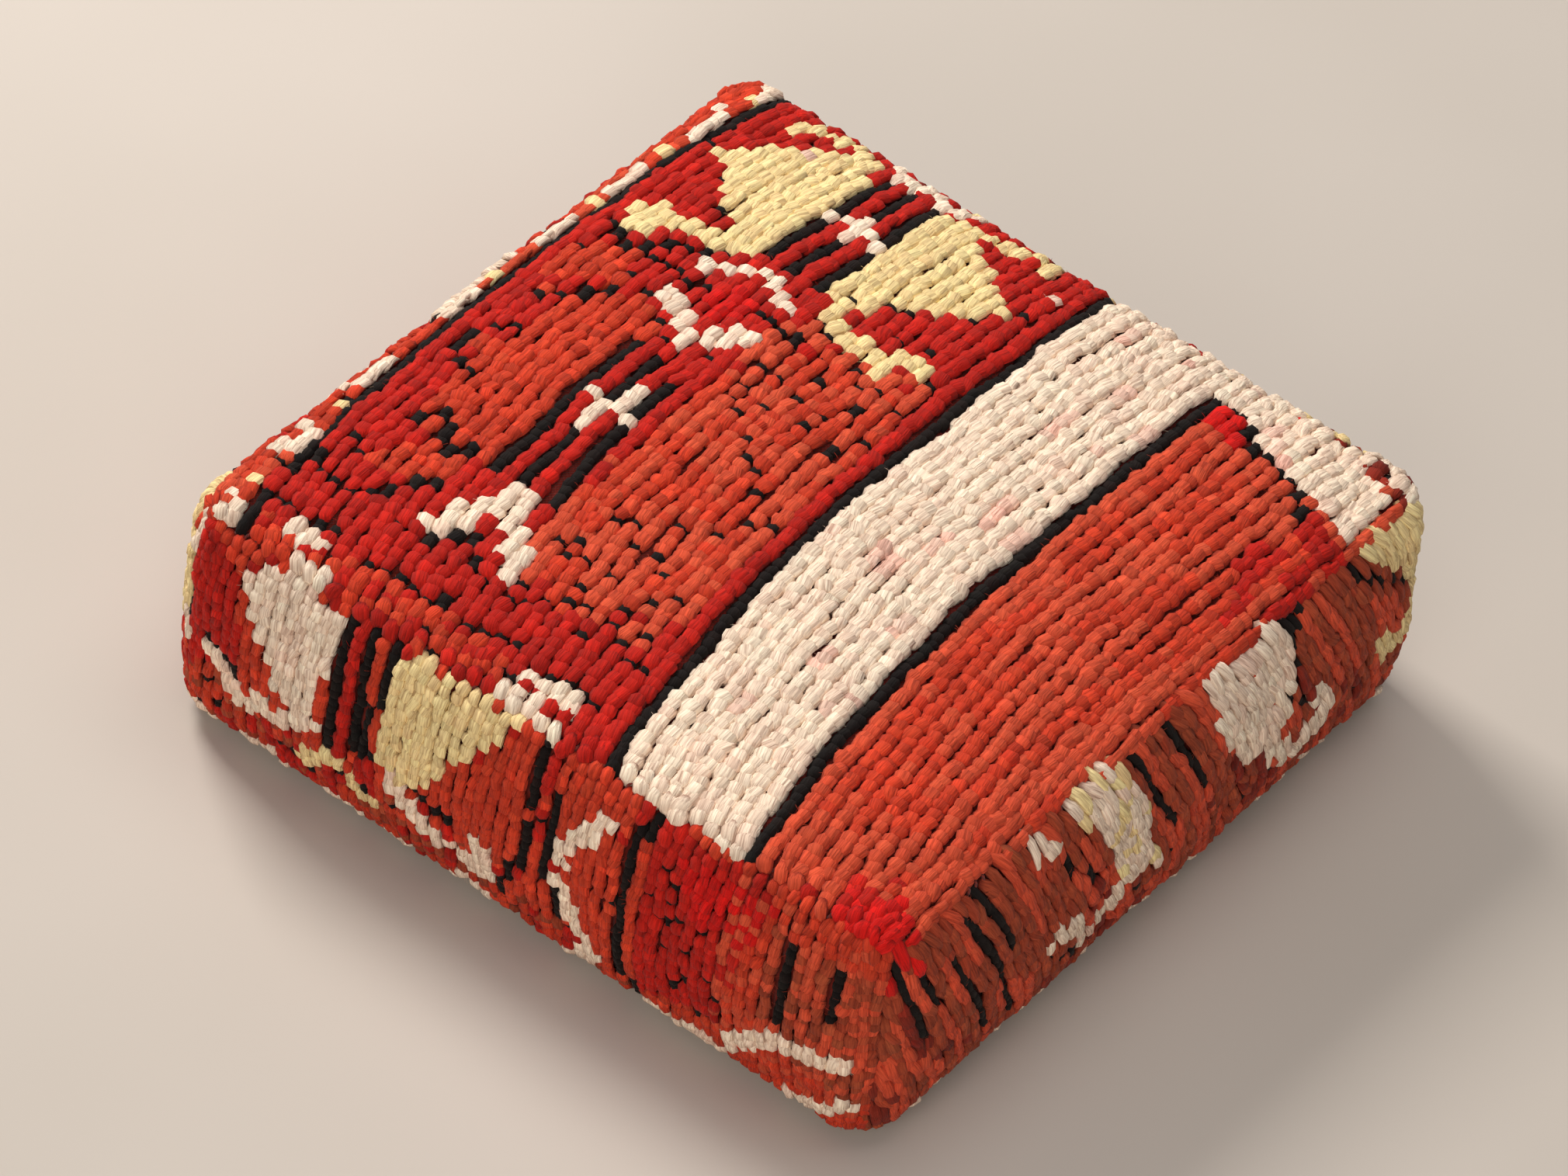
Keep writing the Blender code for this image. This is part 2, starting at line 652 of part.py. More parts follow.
def build_case(cloth, thread):
    """Case of the inner cushion: top, base and one band, joined by two seams."""
    middle = middle_columns()
    plan = plan_grid(CASE_DEPTH + CASE_NOTCH, middle)
    top_face = INNER_TOP - GAP
    upper = lifted(plan, lambda x, y: top_face + crown(x, y))
    lower = lifted(plan, lambda x, y: top_face - CASE_THICKNESS + crown(x, y))
    slab("insert_case_top", upper, lower, cloth)
    lower = lifted(plan, case_underside)
    upper = lifted(plan, lambda x, y: case_underside(x, y) + CASE_THICKNESS)
    slab("insert_case_base", upper, lower, cloth)

    thread_depth = CASE_DEPTH + CASE_NOTCH / 2
    top_thread = top_face - CASE_THREAD_RADIUS
    rim_rise = max(edge_rise(CASE_DEPTH - EDGE_SHIFT), ZIP_RISE)
    base_thread = rim_rise + COTTON_THICKNESS + 3 * GAP + CASE_THREAD_RADIUS
    build_ring("insert_seam_thread_top", round_section(thread_depth, top_thread, CASE_THREAD_RADIUS, 6), thread)
    build_ring("insert_seam_thread_base", round_section(thread_depth, base_thread, CASE_THREAD_RADIUS, 6), thread)

    low = base_thread + CASE_THREAD_RADIUS + GAP
    high = top_thread - CASE_THREAD_RADIUS - GAP
    levels = [low, *(z for z in inner_levels() if low < z < high), high]
    section = [(CASE_DEPTH, z, inner_swell(z)) for z in levels[::-1]]
    section += [(CASE_DEPTH + CASE_THICKNESS, z, inner_swell(z)) for z in levels]
    build_ring("insert_case_band", section, cloth)


def build_filling(finish):
    """Fibre filling, one soft block that fills the case."""
    middle = middle_columns()
    inset = max(CASE_THICKNESS, CASE_NOTCH) + CASE_DEPTH + FILL_ROOM
    plan = plan_grid(inset, middle)
    upper = lifted(plan, lambda x, y: INNER_TOP - 2 * GAP - CASE_THICKNESS + crown(x, y))
    lower = lifted(plan, lambda x, y: case_underside(x, y) + CASE_THICKNESS + 2 * GAP)
    rings = [swollen_ring(plan, inset, z) for z in inner_levels()[-2:0:-1]]
    slab("fibre_filling", upper, lower, finish, rings)


def main():
    """Builds the whole cushion."""
    clear_scene()
    rug = material("rug_pile", (0.50, 0.09, 0.05), 0.95)
    cotton = material("base_cotton", (0.68, 0.58, 0.46), 0.90)
    seam_thread = material("seam_thread", (0.35, 0.08, 0.05), 0.85)
    cotton_thread = material("cotton_thread", (0.72, 0.66, 0.55), 0.85)
    tape = material("zip_tape", (0.62, 0.54, 0.43), 0.88)
    teeth = material("zip_teeth", (0.45, 0.33, 0.16), 0.38, 1.0)
    slider_metal = material("slider_metal", (0.50, 0.39, 0.22), 0.32, 1.0)
    calico = material("insert_calico", (0.76, 0.71, 0.60), 0.90)
    fibre = material("polyester_fibre", (0.85, 0.85, 0.83), 0.97)

    build_top_panel(rug)
    build_side_panels(rug)
    build_rim_threads(seam_thread)
    build_corner_threads(seam_thread)
    build_base(cotton)
    build_closing_threads(cotton_thread)
    build_tapes(tape)
    build_chain(teeth)
    guide = build_slider(slider_metal)
    build_tab(guide, slider_metal)
    build_stitching(cotton_thread)
    build_case(calico, cotton_thread)
    build_filling(fibre)


main()
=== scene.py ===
"""Looks of a knotted-rug floor cushion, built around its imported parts.

The cover is five panels cut from a worn hand-knotted wool rug over a cotton base with a zip.
Every knot of the pile is its own bent tuft of yarn, and the rug's pattern picks its dye.
"""

import json
import logging
import math
from dataclasses import dataclass, replace
from enum import Enum
from typing import Callable, Sequence

import bpy
import numpy as np
from mathutils import Matrix, Vector

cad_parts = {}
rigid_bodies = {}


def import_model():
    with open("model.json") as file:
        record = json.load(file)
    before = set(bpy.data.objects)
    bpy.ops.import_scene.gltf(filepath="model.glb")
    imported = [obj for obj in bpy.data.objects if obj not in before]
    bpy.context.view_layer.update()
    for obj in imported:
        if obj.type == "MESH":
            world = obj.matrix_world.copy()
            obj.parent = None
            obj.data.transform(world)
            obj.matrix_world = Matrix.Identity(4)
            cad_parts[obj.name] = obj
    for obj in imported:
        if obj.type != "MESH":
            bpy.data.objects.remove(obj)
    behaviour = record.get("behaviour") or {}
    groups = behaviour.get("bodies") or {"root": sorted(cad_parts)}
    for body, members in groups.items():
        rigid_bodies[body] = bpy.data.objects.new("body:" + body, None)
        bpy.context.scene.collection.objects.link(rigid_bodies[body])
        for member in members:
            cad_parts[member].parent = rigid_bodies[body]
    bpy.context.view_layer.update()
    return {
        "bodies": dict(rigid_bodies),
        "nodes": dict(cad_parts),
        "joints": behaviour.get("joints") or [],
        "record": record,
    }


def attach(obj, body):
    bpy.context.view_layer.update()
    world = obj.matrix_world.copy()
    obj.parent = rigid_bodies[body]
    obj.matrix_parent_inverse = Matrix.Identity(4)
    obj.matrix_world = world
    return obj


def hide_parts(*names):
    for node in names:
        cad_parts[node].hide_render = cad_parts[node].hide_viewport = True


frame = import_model()
LOG = logging.getLogger("floor_cushion")
Array = np.ndarray
Spot = tuple[float, float]
Colour = tuple[float, float, float]


# Meshes from arrays


@dataclass
class Shape:
    """Triangles and their points, with any values that belong to the points."""

    points: Array
    faces: Array
    values: dict[str, Array]

    def piece(self, name: str, finish: bpy.types.Material) -> bpy.types.Object:
        """Puts the shape into a new smooth-shaded object at the origin.

        Args:
            name: name of the new piece.
            finish: its material.

        Returns:
            The object, linked to the scene.
        """
        mesh = bpy.data.meshes.new(name)
        mesh.vertices.add(len(self.points))
        mesh.vertices.foreach_set("co", self.points.astype(np.float32).ravel())
        mesh.loops.add(self.faces.size)
        mesh.loops.foreach_set("vertex_index", self.faces.astype(np.int32).ravel())
        mesh.polygons.add(len(self.faces))
        mesh.polygons.foreach_set("loop_start", np.arange(0, self.faces.size, 3, dtype=np.int32))
        mesh.update(calc_edges=True)
        mesh.shade_smooth()
        for key, value in self.values.items():
            kind, field = ("FLOAT_COLOR", "color") if value.shape[1] == 4 else ("FLOAT_VECTOR", "vector")
            mesh.attributes.new(key, kind, "POINT").data.foreach_set(field, value.astype(np.float32).ravel())
        mesh.materials.append(finish)
        made = bpy.data.objects.new(name, mesh)
        bpy.context.scene.collection.objects.link(made)
        return made


def slab(upper: Array, lower: Array, closed: bool = False) -> Shape:
    """A closed solid between two grids of points of one size.

    Each grid is rows by columns by 3. The rims are joined by a band, or, where the grids
    close on themselves along their rows, only their two ends are.

    Args:
        upper: the face that looks outwards.
        lower: the face behind it.
        closed: whether the last row meets the first.

    Returns:
        The solid's points and triangles, facing outwards where upper is counterclockwise.
    """
    rows, columns = upper.shape[:2]
    index = np.arange(rows * columns).reshape(rows, columns)
    across = index if not closed else np.vstack([index, index[:1]])
    a, b = across[:-1, :-1].ravel(), across[1:, :-1].ravel()
    c, d = across[1:, 1:].ravel(), across[:-1, 1:].ravel()
    top = np.concatenate([np.stack([a, b, c], 1), np.stack([a, c, d], 1)])
    if closed:
        loops = [across[:, 0], across[::-1, -1]]
    else:
        rim = np.concatenate([index[:, 0], index[-1, 1:], index[::-1, -1][1:], index[0, ::-1][1:]])
        loops = [rim]
    count = rows * columns
    faces = [top, top[:, ::-1] + count]
    for loop in loops:
        p, q = loop[:-1], loop[1:]
        faces.append(np.stack([p, p + count, q + count], 1))
        faces.append(np.stack([p, q + count, q], 1))
    points = np.concatenate([upper.reshape(-1, 3), lower.reshape(-1, 3)])
    return Shape(points, np.concatenate(faces), {})


def strands(path: Array, across: Array, over: Array, wide: Array, thick: Array, sides: int) -> Shape:
    """Closed bodies, each an ellipse carried along its own path and drawn to a point at both ends.

    A point of ring j at angle t is path[j] + wide[j] cos(t) across + thick[j] sin(t) over.

    Args:
        path: points of each strand, strands by rings by 3; the first and last are its ends.
        across: unit directions of the ellipses' width, strands by rings by 3.
        over: unit directions of their thickness.
        wide: half widths, strands by rings.
        thick: half thicknesses, strands by rings.
        sides: corners of each ellipse.

    Returns:
        The bodies, with "strand" holding each point's place in its own strand.
    """
    many, rings = path.shape[:2]
    turn = np.linspace(0, 2 * np.pi, sides, endpoint=False)
    inner = path[:, 1:-1, None, :]
    local_x = wide[:, 1:-1, None] * np.cos(turn)
    local_y = thick[:, 1:-1, None] * np.sin(turn)
    body = inner + local_x[..., None] * across[:, 1:-1, None, :] + local_y[..., None] * over[:, 1:-1, None, :]
    each = 2 + (rings - 2) * sides
    points = np.concatenate([path[:, :1], body.reshape(many, -1, 3), path[:, -1:]], 1)
    steps = np.linalg.norm(np.diff(path, axis=1), axis=2)
    run = np.concatenate([np.zeros((many, 1)), np.cumsum(steps, 1)], 1)
    local_z = np.repeat(run[:, 1:-1], sides, 1)
    blank = np.zeros((many, 1))
    local = np.stack(
        [
            np.concatenate([blank, local_x.reshape(many, -1), blank], 1),
            np.concatenate([blank, local_y.reshape(many, -1), blank], 1),
            np.concatenate([run[:, :1], local_z, run[:, -1:]], 1),
        ],
        2,
    )
    ring = 1 + np.arange((rings - 2) * sides).reshape(rings - 2, sides)
    after = np.roll(ring, -1, axis=1)
    a, b, c, d = (part.ravel() for part in (ring[:-1], after[:-1], after[1:], ring[1:]))
    start = np.stack([np.zeros(sides, int), after[0], ring[0]], 1)
    end = np.stack([np.full(sides, each - 1), ring[-1], after[-1]], 1)
    one = np.concatenate([start, np.stack([a, b, c], 1), np.stack([a, c, d], 1), end])
    faces = (one[None] + each * np.arange(many)[:, None, None]).reshape(-1, 3)
    return Shape(points.reshape(-1, 3), faces, {"strand": local.reshape(-1, 3)})


def unit(vectors: Array) -> Array:
    """The vectors at length one."""
    return vectors / np.maximum(np.linalg.norm(vectors, axis=-1, keepdims=True), 1e-12)


def smooth(share: Array) -> Array:
    """From 0 to 1 with level ends, over shares from 0 to 1."""
    share = np.clip(share, 0, 1)
    return share * share * (3 - 2 * share)


def ripple(x: Array, y: Array, seed: int, waves: int = 7, length: float = 0.11) -> Array:
    """Gentle unevenness between about -1 and 1: a sum of sine waves in seeded directions."""
    chance = np.random.default_rng(seed)
    total = np.zeros(np.broadcast(x, y).shape)
    for _ in range(waves):
        angle = chance.uniform(0, 2 * np.pi)
        pitch = length * chance.uniform(0.6, 1.8)
        phase = chance.uniform(0, 2 * np.pi)
        total += np.sin((x * np.cos(angle) + y * np.sin(angle)) * 2 * np.pi / pitch + phase)
    return total / math.sqrt(waves) / 1.4


# Finishes


def linear(colour: Colour) -> Colour:
    """A display colour, 0 to 255, as linear light."""
    return tuple(((c / 255 + 0.055) / 1.055) ** 2.4 if c > 10.3 else c / 255 / 12.92 for c in colour)


class Value:
    """A number that varies over a surface, with Python's arithmetic."""

    def __init__(self, graph: "Graph", socket: bpy.types.NodeSocket) -> None:
        """Wraps an output socket of a graph."""
        self.graph = graph
        self.socket = socket

    def _with(self, operation: str, first: object, second: object) -> "Value":
        """A Math node of the operation on two values."""
        return self.graph.value("ShaderNodeMath", {"operation": operation}, {0: first, 1: second})

    def __add__(self, other: object) -> "Value":
        """The sum."""
        return self._with("ADD", self, other)

    def __rsub__(self, other: object) -> "Value":
        """A number less this."""
        return self._with("SUBTRACT", other, self)

    def __mul__(self, other: object) -> "Value":
        """The product."""
        return self._with("MULTIPLY", self, other)

    def __gt__(self, other: object) -> "Value":
        """One where this is the greater."""
        return self._with("GREATER_THAN", self, other)

    __radd__ = __add__
    __rmul__ = __mul__

    def span(self, low: float, high: float, out_low: float = 0.0, out_high: float = 1.0) -> "Value":
        """This value stretched from low..high to out_low..out_high, and held at the ends."""
        wanted = {"Value": self, "From Min": low, "From Max": high, "To Min": out_low, "To Max": out_high}
        return self.graph.value("ShaderNodeMapRange", {}, wanted)


class Graph:
    """A material under construction."""

    def __init__(self, name: str) -> None:
        """Starts a material with one Principled shader."""
        self.material = bpy.data.materials.new(name)
        self.material.use_nodes = True
        self.tree = self.material.node_tree
        self.shader = self.tree.nodes["Principled BSDF"]

    def node(self, kind: str, settings: dict[str, object], inputs: dict[object, object]) -> bpy.types.Node:
        """Adds a node.

        Args:
            kind: the node's type.
            settings: its properties, set first.
            inputs: values or links, by socket name or number.

        Returns:
            The node.
        """
        made = self.tree.nodes.new(kind)
        for key, value in settings.items():
            setattr(made, key, value)
        for key, value in inputs.items():
            self.plug(made.inputs[key], value)
        return made

    def plug(self, socket: bpy.types.NodeSocket, value: object) -> None:
        """Links or sets one input."""
        if isinstance(value, Value):
            self.tree.links.new(value.socket, socket)
        elif isinstance(value, bpy.types.NodeSocket):
            self.tree.links.new(value, socket)
        else:
            socket.default_value = value

    def value(self, kind: str, settings: dict[str, object], inputs: dict[object, object]) -> Value:
        """A node's first output as a Value."""
        return Value(self, self.node(kind, settings, inputs).outputs[0])

    def place(self, stretch: Colour = (1.0, 1.0, 1.0), attribute: str = "") -> bpy.types.NodeSocket:
        """Object coordinates, or a vector attribute, stretched along its axes."""
        if attribute:
            start = self.node("ShaderNodeAttribute", {"attribute_name": attribute}, {}).outputs["Vector"]
        else:
            start = self.node("ShaderNodeTexCoord", {}, {}).outputs["Object"]
        return self.node("ShaderNodeVectorMath", {"operation": "MULTIPLY"}, {0: start, 1: stretch}).outputs[0]

    def axes(self, attribute: str = "") -> tuple[Value, Value, Value]:
        """The three numbers of the object coordinates or of a vector attribute."""
        split = self.node("ShaderNodeSeparateXYZ", {}, {0: self.place(attribute=attribute)})
        return tuple(Value(self, split.outputs[k]) for k in range(3))

    def noise(self, vector: bpy.types.NodeSocket, scale: float, detail: float = 3.0) -> Value:
        """Fractal noise from 0 to 1."""
        return self.value("ShaderNodeTexNoise", {}, {"Vector": vector, "Scale": scale, "Detail": detail})

    def mix(self, share: object, first: object, second: object, blend: str = "MIX") -> bpy.types.NodeSocket:
        """A mix of two colours."""
        settings = {"data_type": "RGBA", "blend_type": blend}
        made = self.node("ShaderNodeMix", settings, {0: share})
        for socket, value in ((made.inputs[6], first), (made.inputs[7], second)):
            self.plug(socket, (*value, 1.0) if isinstance(value, tuple) else value)
        return made.outputs[2]

    def bump(self, height: Value, distance: float, strength: float = 1.0) -> None:
        """Raises the surface by a height from 0 to 1."""
        inputs = {"Height": height, "Distance": distance, "Strength": strength}
        made = self.node("ShaderNodeBump", {}, inputs)
        self.tree.links.new(made.outputs[0], self.shader.inputs["Normal"])

    def surface(self, **inputs: object) -> bpy.types.Material:
        """Sets the shader's inputs, an underscore standing for a space, and returns the material."""
        for key, value in inputs.items():
            colour = isinstance(value, tuple) and len(value) == 3
            self.plug(self.shader.inputs[key.replace("_", " ")], (*value, 1.0) if colour else value)
        return self.material


@dataclass(frozen=True)
class PileFinish:
    """Worn wool pile: each tuft in its own dye with fibres along it, painted darker at its root and underside
    as shade, and lighter on its upper side, partly worn fading and partly painted light.
    """

    fibre: float = 0.0009
    sheen: float = 0.03

    def material(self) -> bpy.types.Material:
        """Makes the material: the "dye" attribute holds the dye, and its alpha a share of painted light: low
        at the root and on the underside of a tuft, where shade is painted, and high on its upper side, which
        is painted lighter.
        """
        graph = Graph("wool_pile")
        dye = graph.node("ShaderNodeAttribute", {"attribute_name": "dye"}, {})
        lit_share = Value(graph, dye.outputs["Alpha"])
        fine = 1 / self.fibre
        fibres = graph.noise(graph.place((fine, fine, fine / 14), "strand"), 1.0, 3.0)
        clumps = graph.noise(graph.place((fine / 2.6, fine / 2.6, fine / 30), "strand"), 1.0, 2.0)
        cloud = graph.noise(graph.place(), 9.0, 2.0)
        combed = fibres * 0.55 + clumps * 0.45
        shaded = graph.mix(combed.span(0.34, 0.64), (0.50, 0.40, 0.37), (1.16, 1.16, 1.15))
        toned = graph.mix(1.0, dye.outputs["Color"], shaded, "MULTIPLY")
        aged = graph.mix(cloud.span(0.38, 0.7, 0.0, 0.5), toned, (1.12, 1.10, 1.07), "MULTIPLY")
        # Painted light, partly worn fading: where the alpha share passes 0.6, on the upper side of a tuft,
        # the colour is made lighter.
        faded_and_lit = graph.mix(lit_share.span(0.6, 1.0, 0.0, 0.5), aged, (1.12, 1.11, 1.08), "MULTIPLY")
        # Painted shade: the colour darkened to a dark red-brown for the roots and undersides of the tufts,
        # mostly shade between them and partly the root's less faded dye.
        painted_root_shade = graph.mix(1.0, faded_and_lit, (0.36, 0.17, 0.14), "MULTIPLY")
        # Painted shade where the alpha share is below 0.5, blending into the lighter colour above it.
        shaded_and_lit_colour = graph.mix(lit_share.span(0.0, 0.5), painted_root_shade, faded_and_lit)
        graph.bump(combed, self.fibre * 1.8, 1.0)
        return graph.surface(
            Base_Color=shaded_and_lit_colour,
            Roughness=0.92,
            Sheen_Weight=self.sheen,
            Sheen_Roughness=0.5,
            Sheen_Tint=(1.0, 0.86, 0.76),
            Specular_IOR_Level=0.25,
        )


@dataclass(frozen=True)
class WeaveFinish:
    """Plain woven cloth: threads over and under one another, with slubs and soft soiling."""

    name: str
    colour: Colour
    pitch: float
    depth: float
    slub: float = 0.22

    def material(self) -> bpy.types.Material:
        """Makes the material from object coordinates: two crossing rows of threads."""
        graph = Graph(self.name)
        x, y, _ = graph.axes()
        wobble = graph.noise(graph.place(), 60.0, 2.0)
        turn = 2 * math.pi / self.pitch
        sine = {"operation": "SINE"}
        one = graph.value("ShaderNodeMath", sine, {0: (x + wobble * self.pitch * 0.5) * turn})
        two = graph.value("ShaderNodeMath", sine, {0: (y + wobble * self.pitch * 0.5) * turn})
        cloth = (one * two + 1) * 0.5
        slubs = graph.noise(graph.place((900.0, 70.0, 70.0)), 1.0, 2.0)
        soil = graph.noise(graph.place(), 5.0, 4.0)
        base = linear(self.colour)
        dark = tuple(c * 0.66 for c in base)
        tone = graph.mix(cloth.span(0.1, 0.8), dark, base)
        pale = tuple(min(1.0, c * 1.25) for c in base)
        tone = graph.mix(slubs.span(0.45, 0.75, 0.0, self.slub), tone, pale)
        tone = graph.mix(soil.span(0.5, 0.75, 0.0, 0.3), tone, tuple(c * 0.74 for c in base))
        graph.bump(cloth + slubs * 0.5, self.depth, 0.8)
        return graph.surface(Base_Color=tone, Roughness=0.9, Sheen_Weight=0.15, Specular_IOR_Level=0.3)


@dataclass(frozen=True)
class TwistFinish:
    """Plied sewing thread, its plies winding round it."""

    name: str
    colour: Colour
    ply: float = 0.0011

    def material(self) -> bpy.types.Material:
        """Makes the material from the "strand" attribute: slanting plies along the thread."""
        graph = Graph(self.name)
        x, _, z = graph.axes("strand")
        turn = (z + x * 0.9) * (2 * math.pi / self.ply)
        plies = graph.value("ShaderNodeMath", {"operation": "SINE"}, {0: turn})
        plies = plies * 0.5 + 0.5
        fuzz = graph.noise(graph.place(), 700.0, 2.0)
        base = linear(self.colour)
        tone = graph.mix(plies.span(0.0, 0.7), tuple(c * 0.5 for c in base), base)
        tone = graph.mix(fuzz.span(0.5, 0.8, 0.0, 0.3), tone, tuple(min(1.0, c * 1.3) for c in base))
        graph.bump(plies + fuzz * 0.3, 0.0003, 0.9)
        return graph.surface(Base_Color=tone, Roughness=0.75, Sheen_Weight=0.2)


@dataclass(frozen=True)
class MetalFinish:
    """Aged brass: rubbed bright on the high places, brown in the hollows, finely scratched."""

    name: str
    colour: Colour
    tarnish: Colour
    roughness: float = 0.34

    def material(self) -> bpy.types.Material:
        """Makes the material from object coordinates."""
        graph = Graph(self.name)
        blotch = graph.noise(graph.place(), 420.0, 4.0)
        scratch = graph.noise(graph.place((300.0, 4200.0, 4200.0)), 1.0, 2.0)
        tone = graph.mix(blotch.span(0.42, 0.68, 0.0, 0.8), linear(self.colour), linear(self.tarnish))
        rough = blotch.span(0.35, 0.7, self.roughness, self.roughness + 0.28)
        graph.bump(scratch, 0.00004, 0.5)
        return graph.surface(Base_Color=tone, Roughness=rough, Metallic=1.0)


@dataclass(frozen=True)
class ChainFinish:
    """Zip teeth of aged brass on a woven cord."""

    teeth_reach: float = 0.0023

    def material(self) -> bpy.types.Material:
        """Makes the material: metal near the centre line, cord past it."""
        graph = Graph("zip_chain")
        _, y, _ = graph.axes()
        away = graph.value("ShaderNodeMath", {"operation": "ABSOLUTE"}, {0: y})
        metal = 1 - (away > self.teeth_reach)
        blotch = graph.noise(graph.place(), 500.0, 3.0)
        brass = graph.mix(blotch.span(0.4, 0.7), linear((190, 150, 84)), linear((120, 88, 48)))
        cord = graph.mix(blotch.span(0.3, 0.7), linear((150, 128, 100)), linear((190, 170, 140)))
        ribs = graph.noise(graph.place((2600.0, 500.0, 500.0)), 1.0, 1.0)
        graph.bump(ribs, 0.00012, 0.6)
        rough = metal * -0.5 + 0.85
        return graph.surface(Base_Color=graph.mix(metal, cord, brass), Roughness=rough, Metallic=metal)


@dataclass(frozen=True)
class FibreFinish:
    """Loose white polyester fibre."""

    def material(self) -> bpy.types.Material:
        """Makes the material: matted hair-fine strands."""
        graph = Graph("polyester_fibre")
        mat = graph.noise(graph.place((90.0, 900.0, 400.0)), 1.0, 4.0)
        cross = graph.noise(graph.place((900.0, 90.0, 400.0)), 1.0, 4.0)
        web = mat * cross
        tone = graph.mix(web.span(0.1, 0.45), linear((206, 205, 200)), linear((248, 248, 246)))
        graph.bump(web, 0.002, 0.8)
        return graph.surface(Base_Color=tone, Roughness=0.85, Sheen_Weight=0.3)


# The rug and its pattern


class Yarn(Enum):
    """The rug's dyed wools: colour, unevenness of the dye, and how much of its height a tuft has left."""

    CRIMSON = ((190, 28, 16), 0.10, 1.0)
    ORANGE = ((206, 62, 34), 0.10, 0.97)
    TERRACOTTA = ((212, 80, 50), 0.07, 0.97)
    BROWN = ((168, 70, 42), 0.12, 0.95)
    OXBLOOD = ((138, 42, 26), 0.16, 0.92)
    YELLOW = ((246, 222, 162), 0.035, 1.10)
    IVORY = ((250, 230, 206), 0.035, 1.12)
    PINK = ((244, 204, 184), 0.09, 1.04)
    BLACK = ((20, 12, 9), 0.25, 0.60)
    VIVID = ((214, 20, 14), 0.10, 1.0)

    def __init__(self, colour: Colour, uneven: float, height: float) -> None:
        """Keeps the wool's facts under plain names."""
        self.colour = colour
        self.uneven = uneven
        self.height = height


YARNS = list(Yarn)


Bend = Callable[[Array, Array], Array]


def straight(start: Array, v: Array) -> Array:
    """Columns that run straight up."""
    return np.zeros_like(v)


def top_bend(start: Array, v: Array) -> Array:
    """The top's columns bear right towards the front, and those by the left edge also towards the back."""
    front = 3.4 * np.clip((30 - v) / 32, 0, 2) ** 1.35
    back = 3.2 * np.clip((v - 32) / 28, 0, 2) ** 1.5 * np.clip(1 - start / 22, 0, 1.2)
    return front + back


def slanting(slope: float) -> Bend:
    """Columns that lean by a slope about the panel's middle height."""
    return lambda start, v: slope * (9.75 - v)


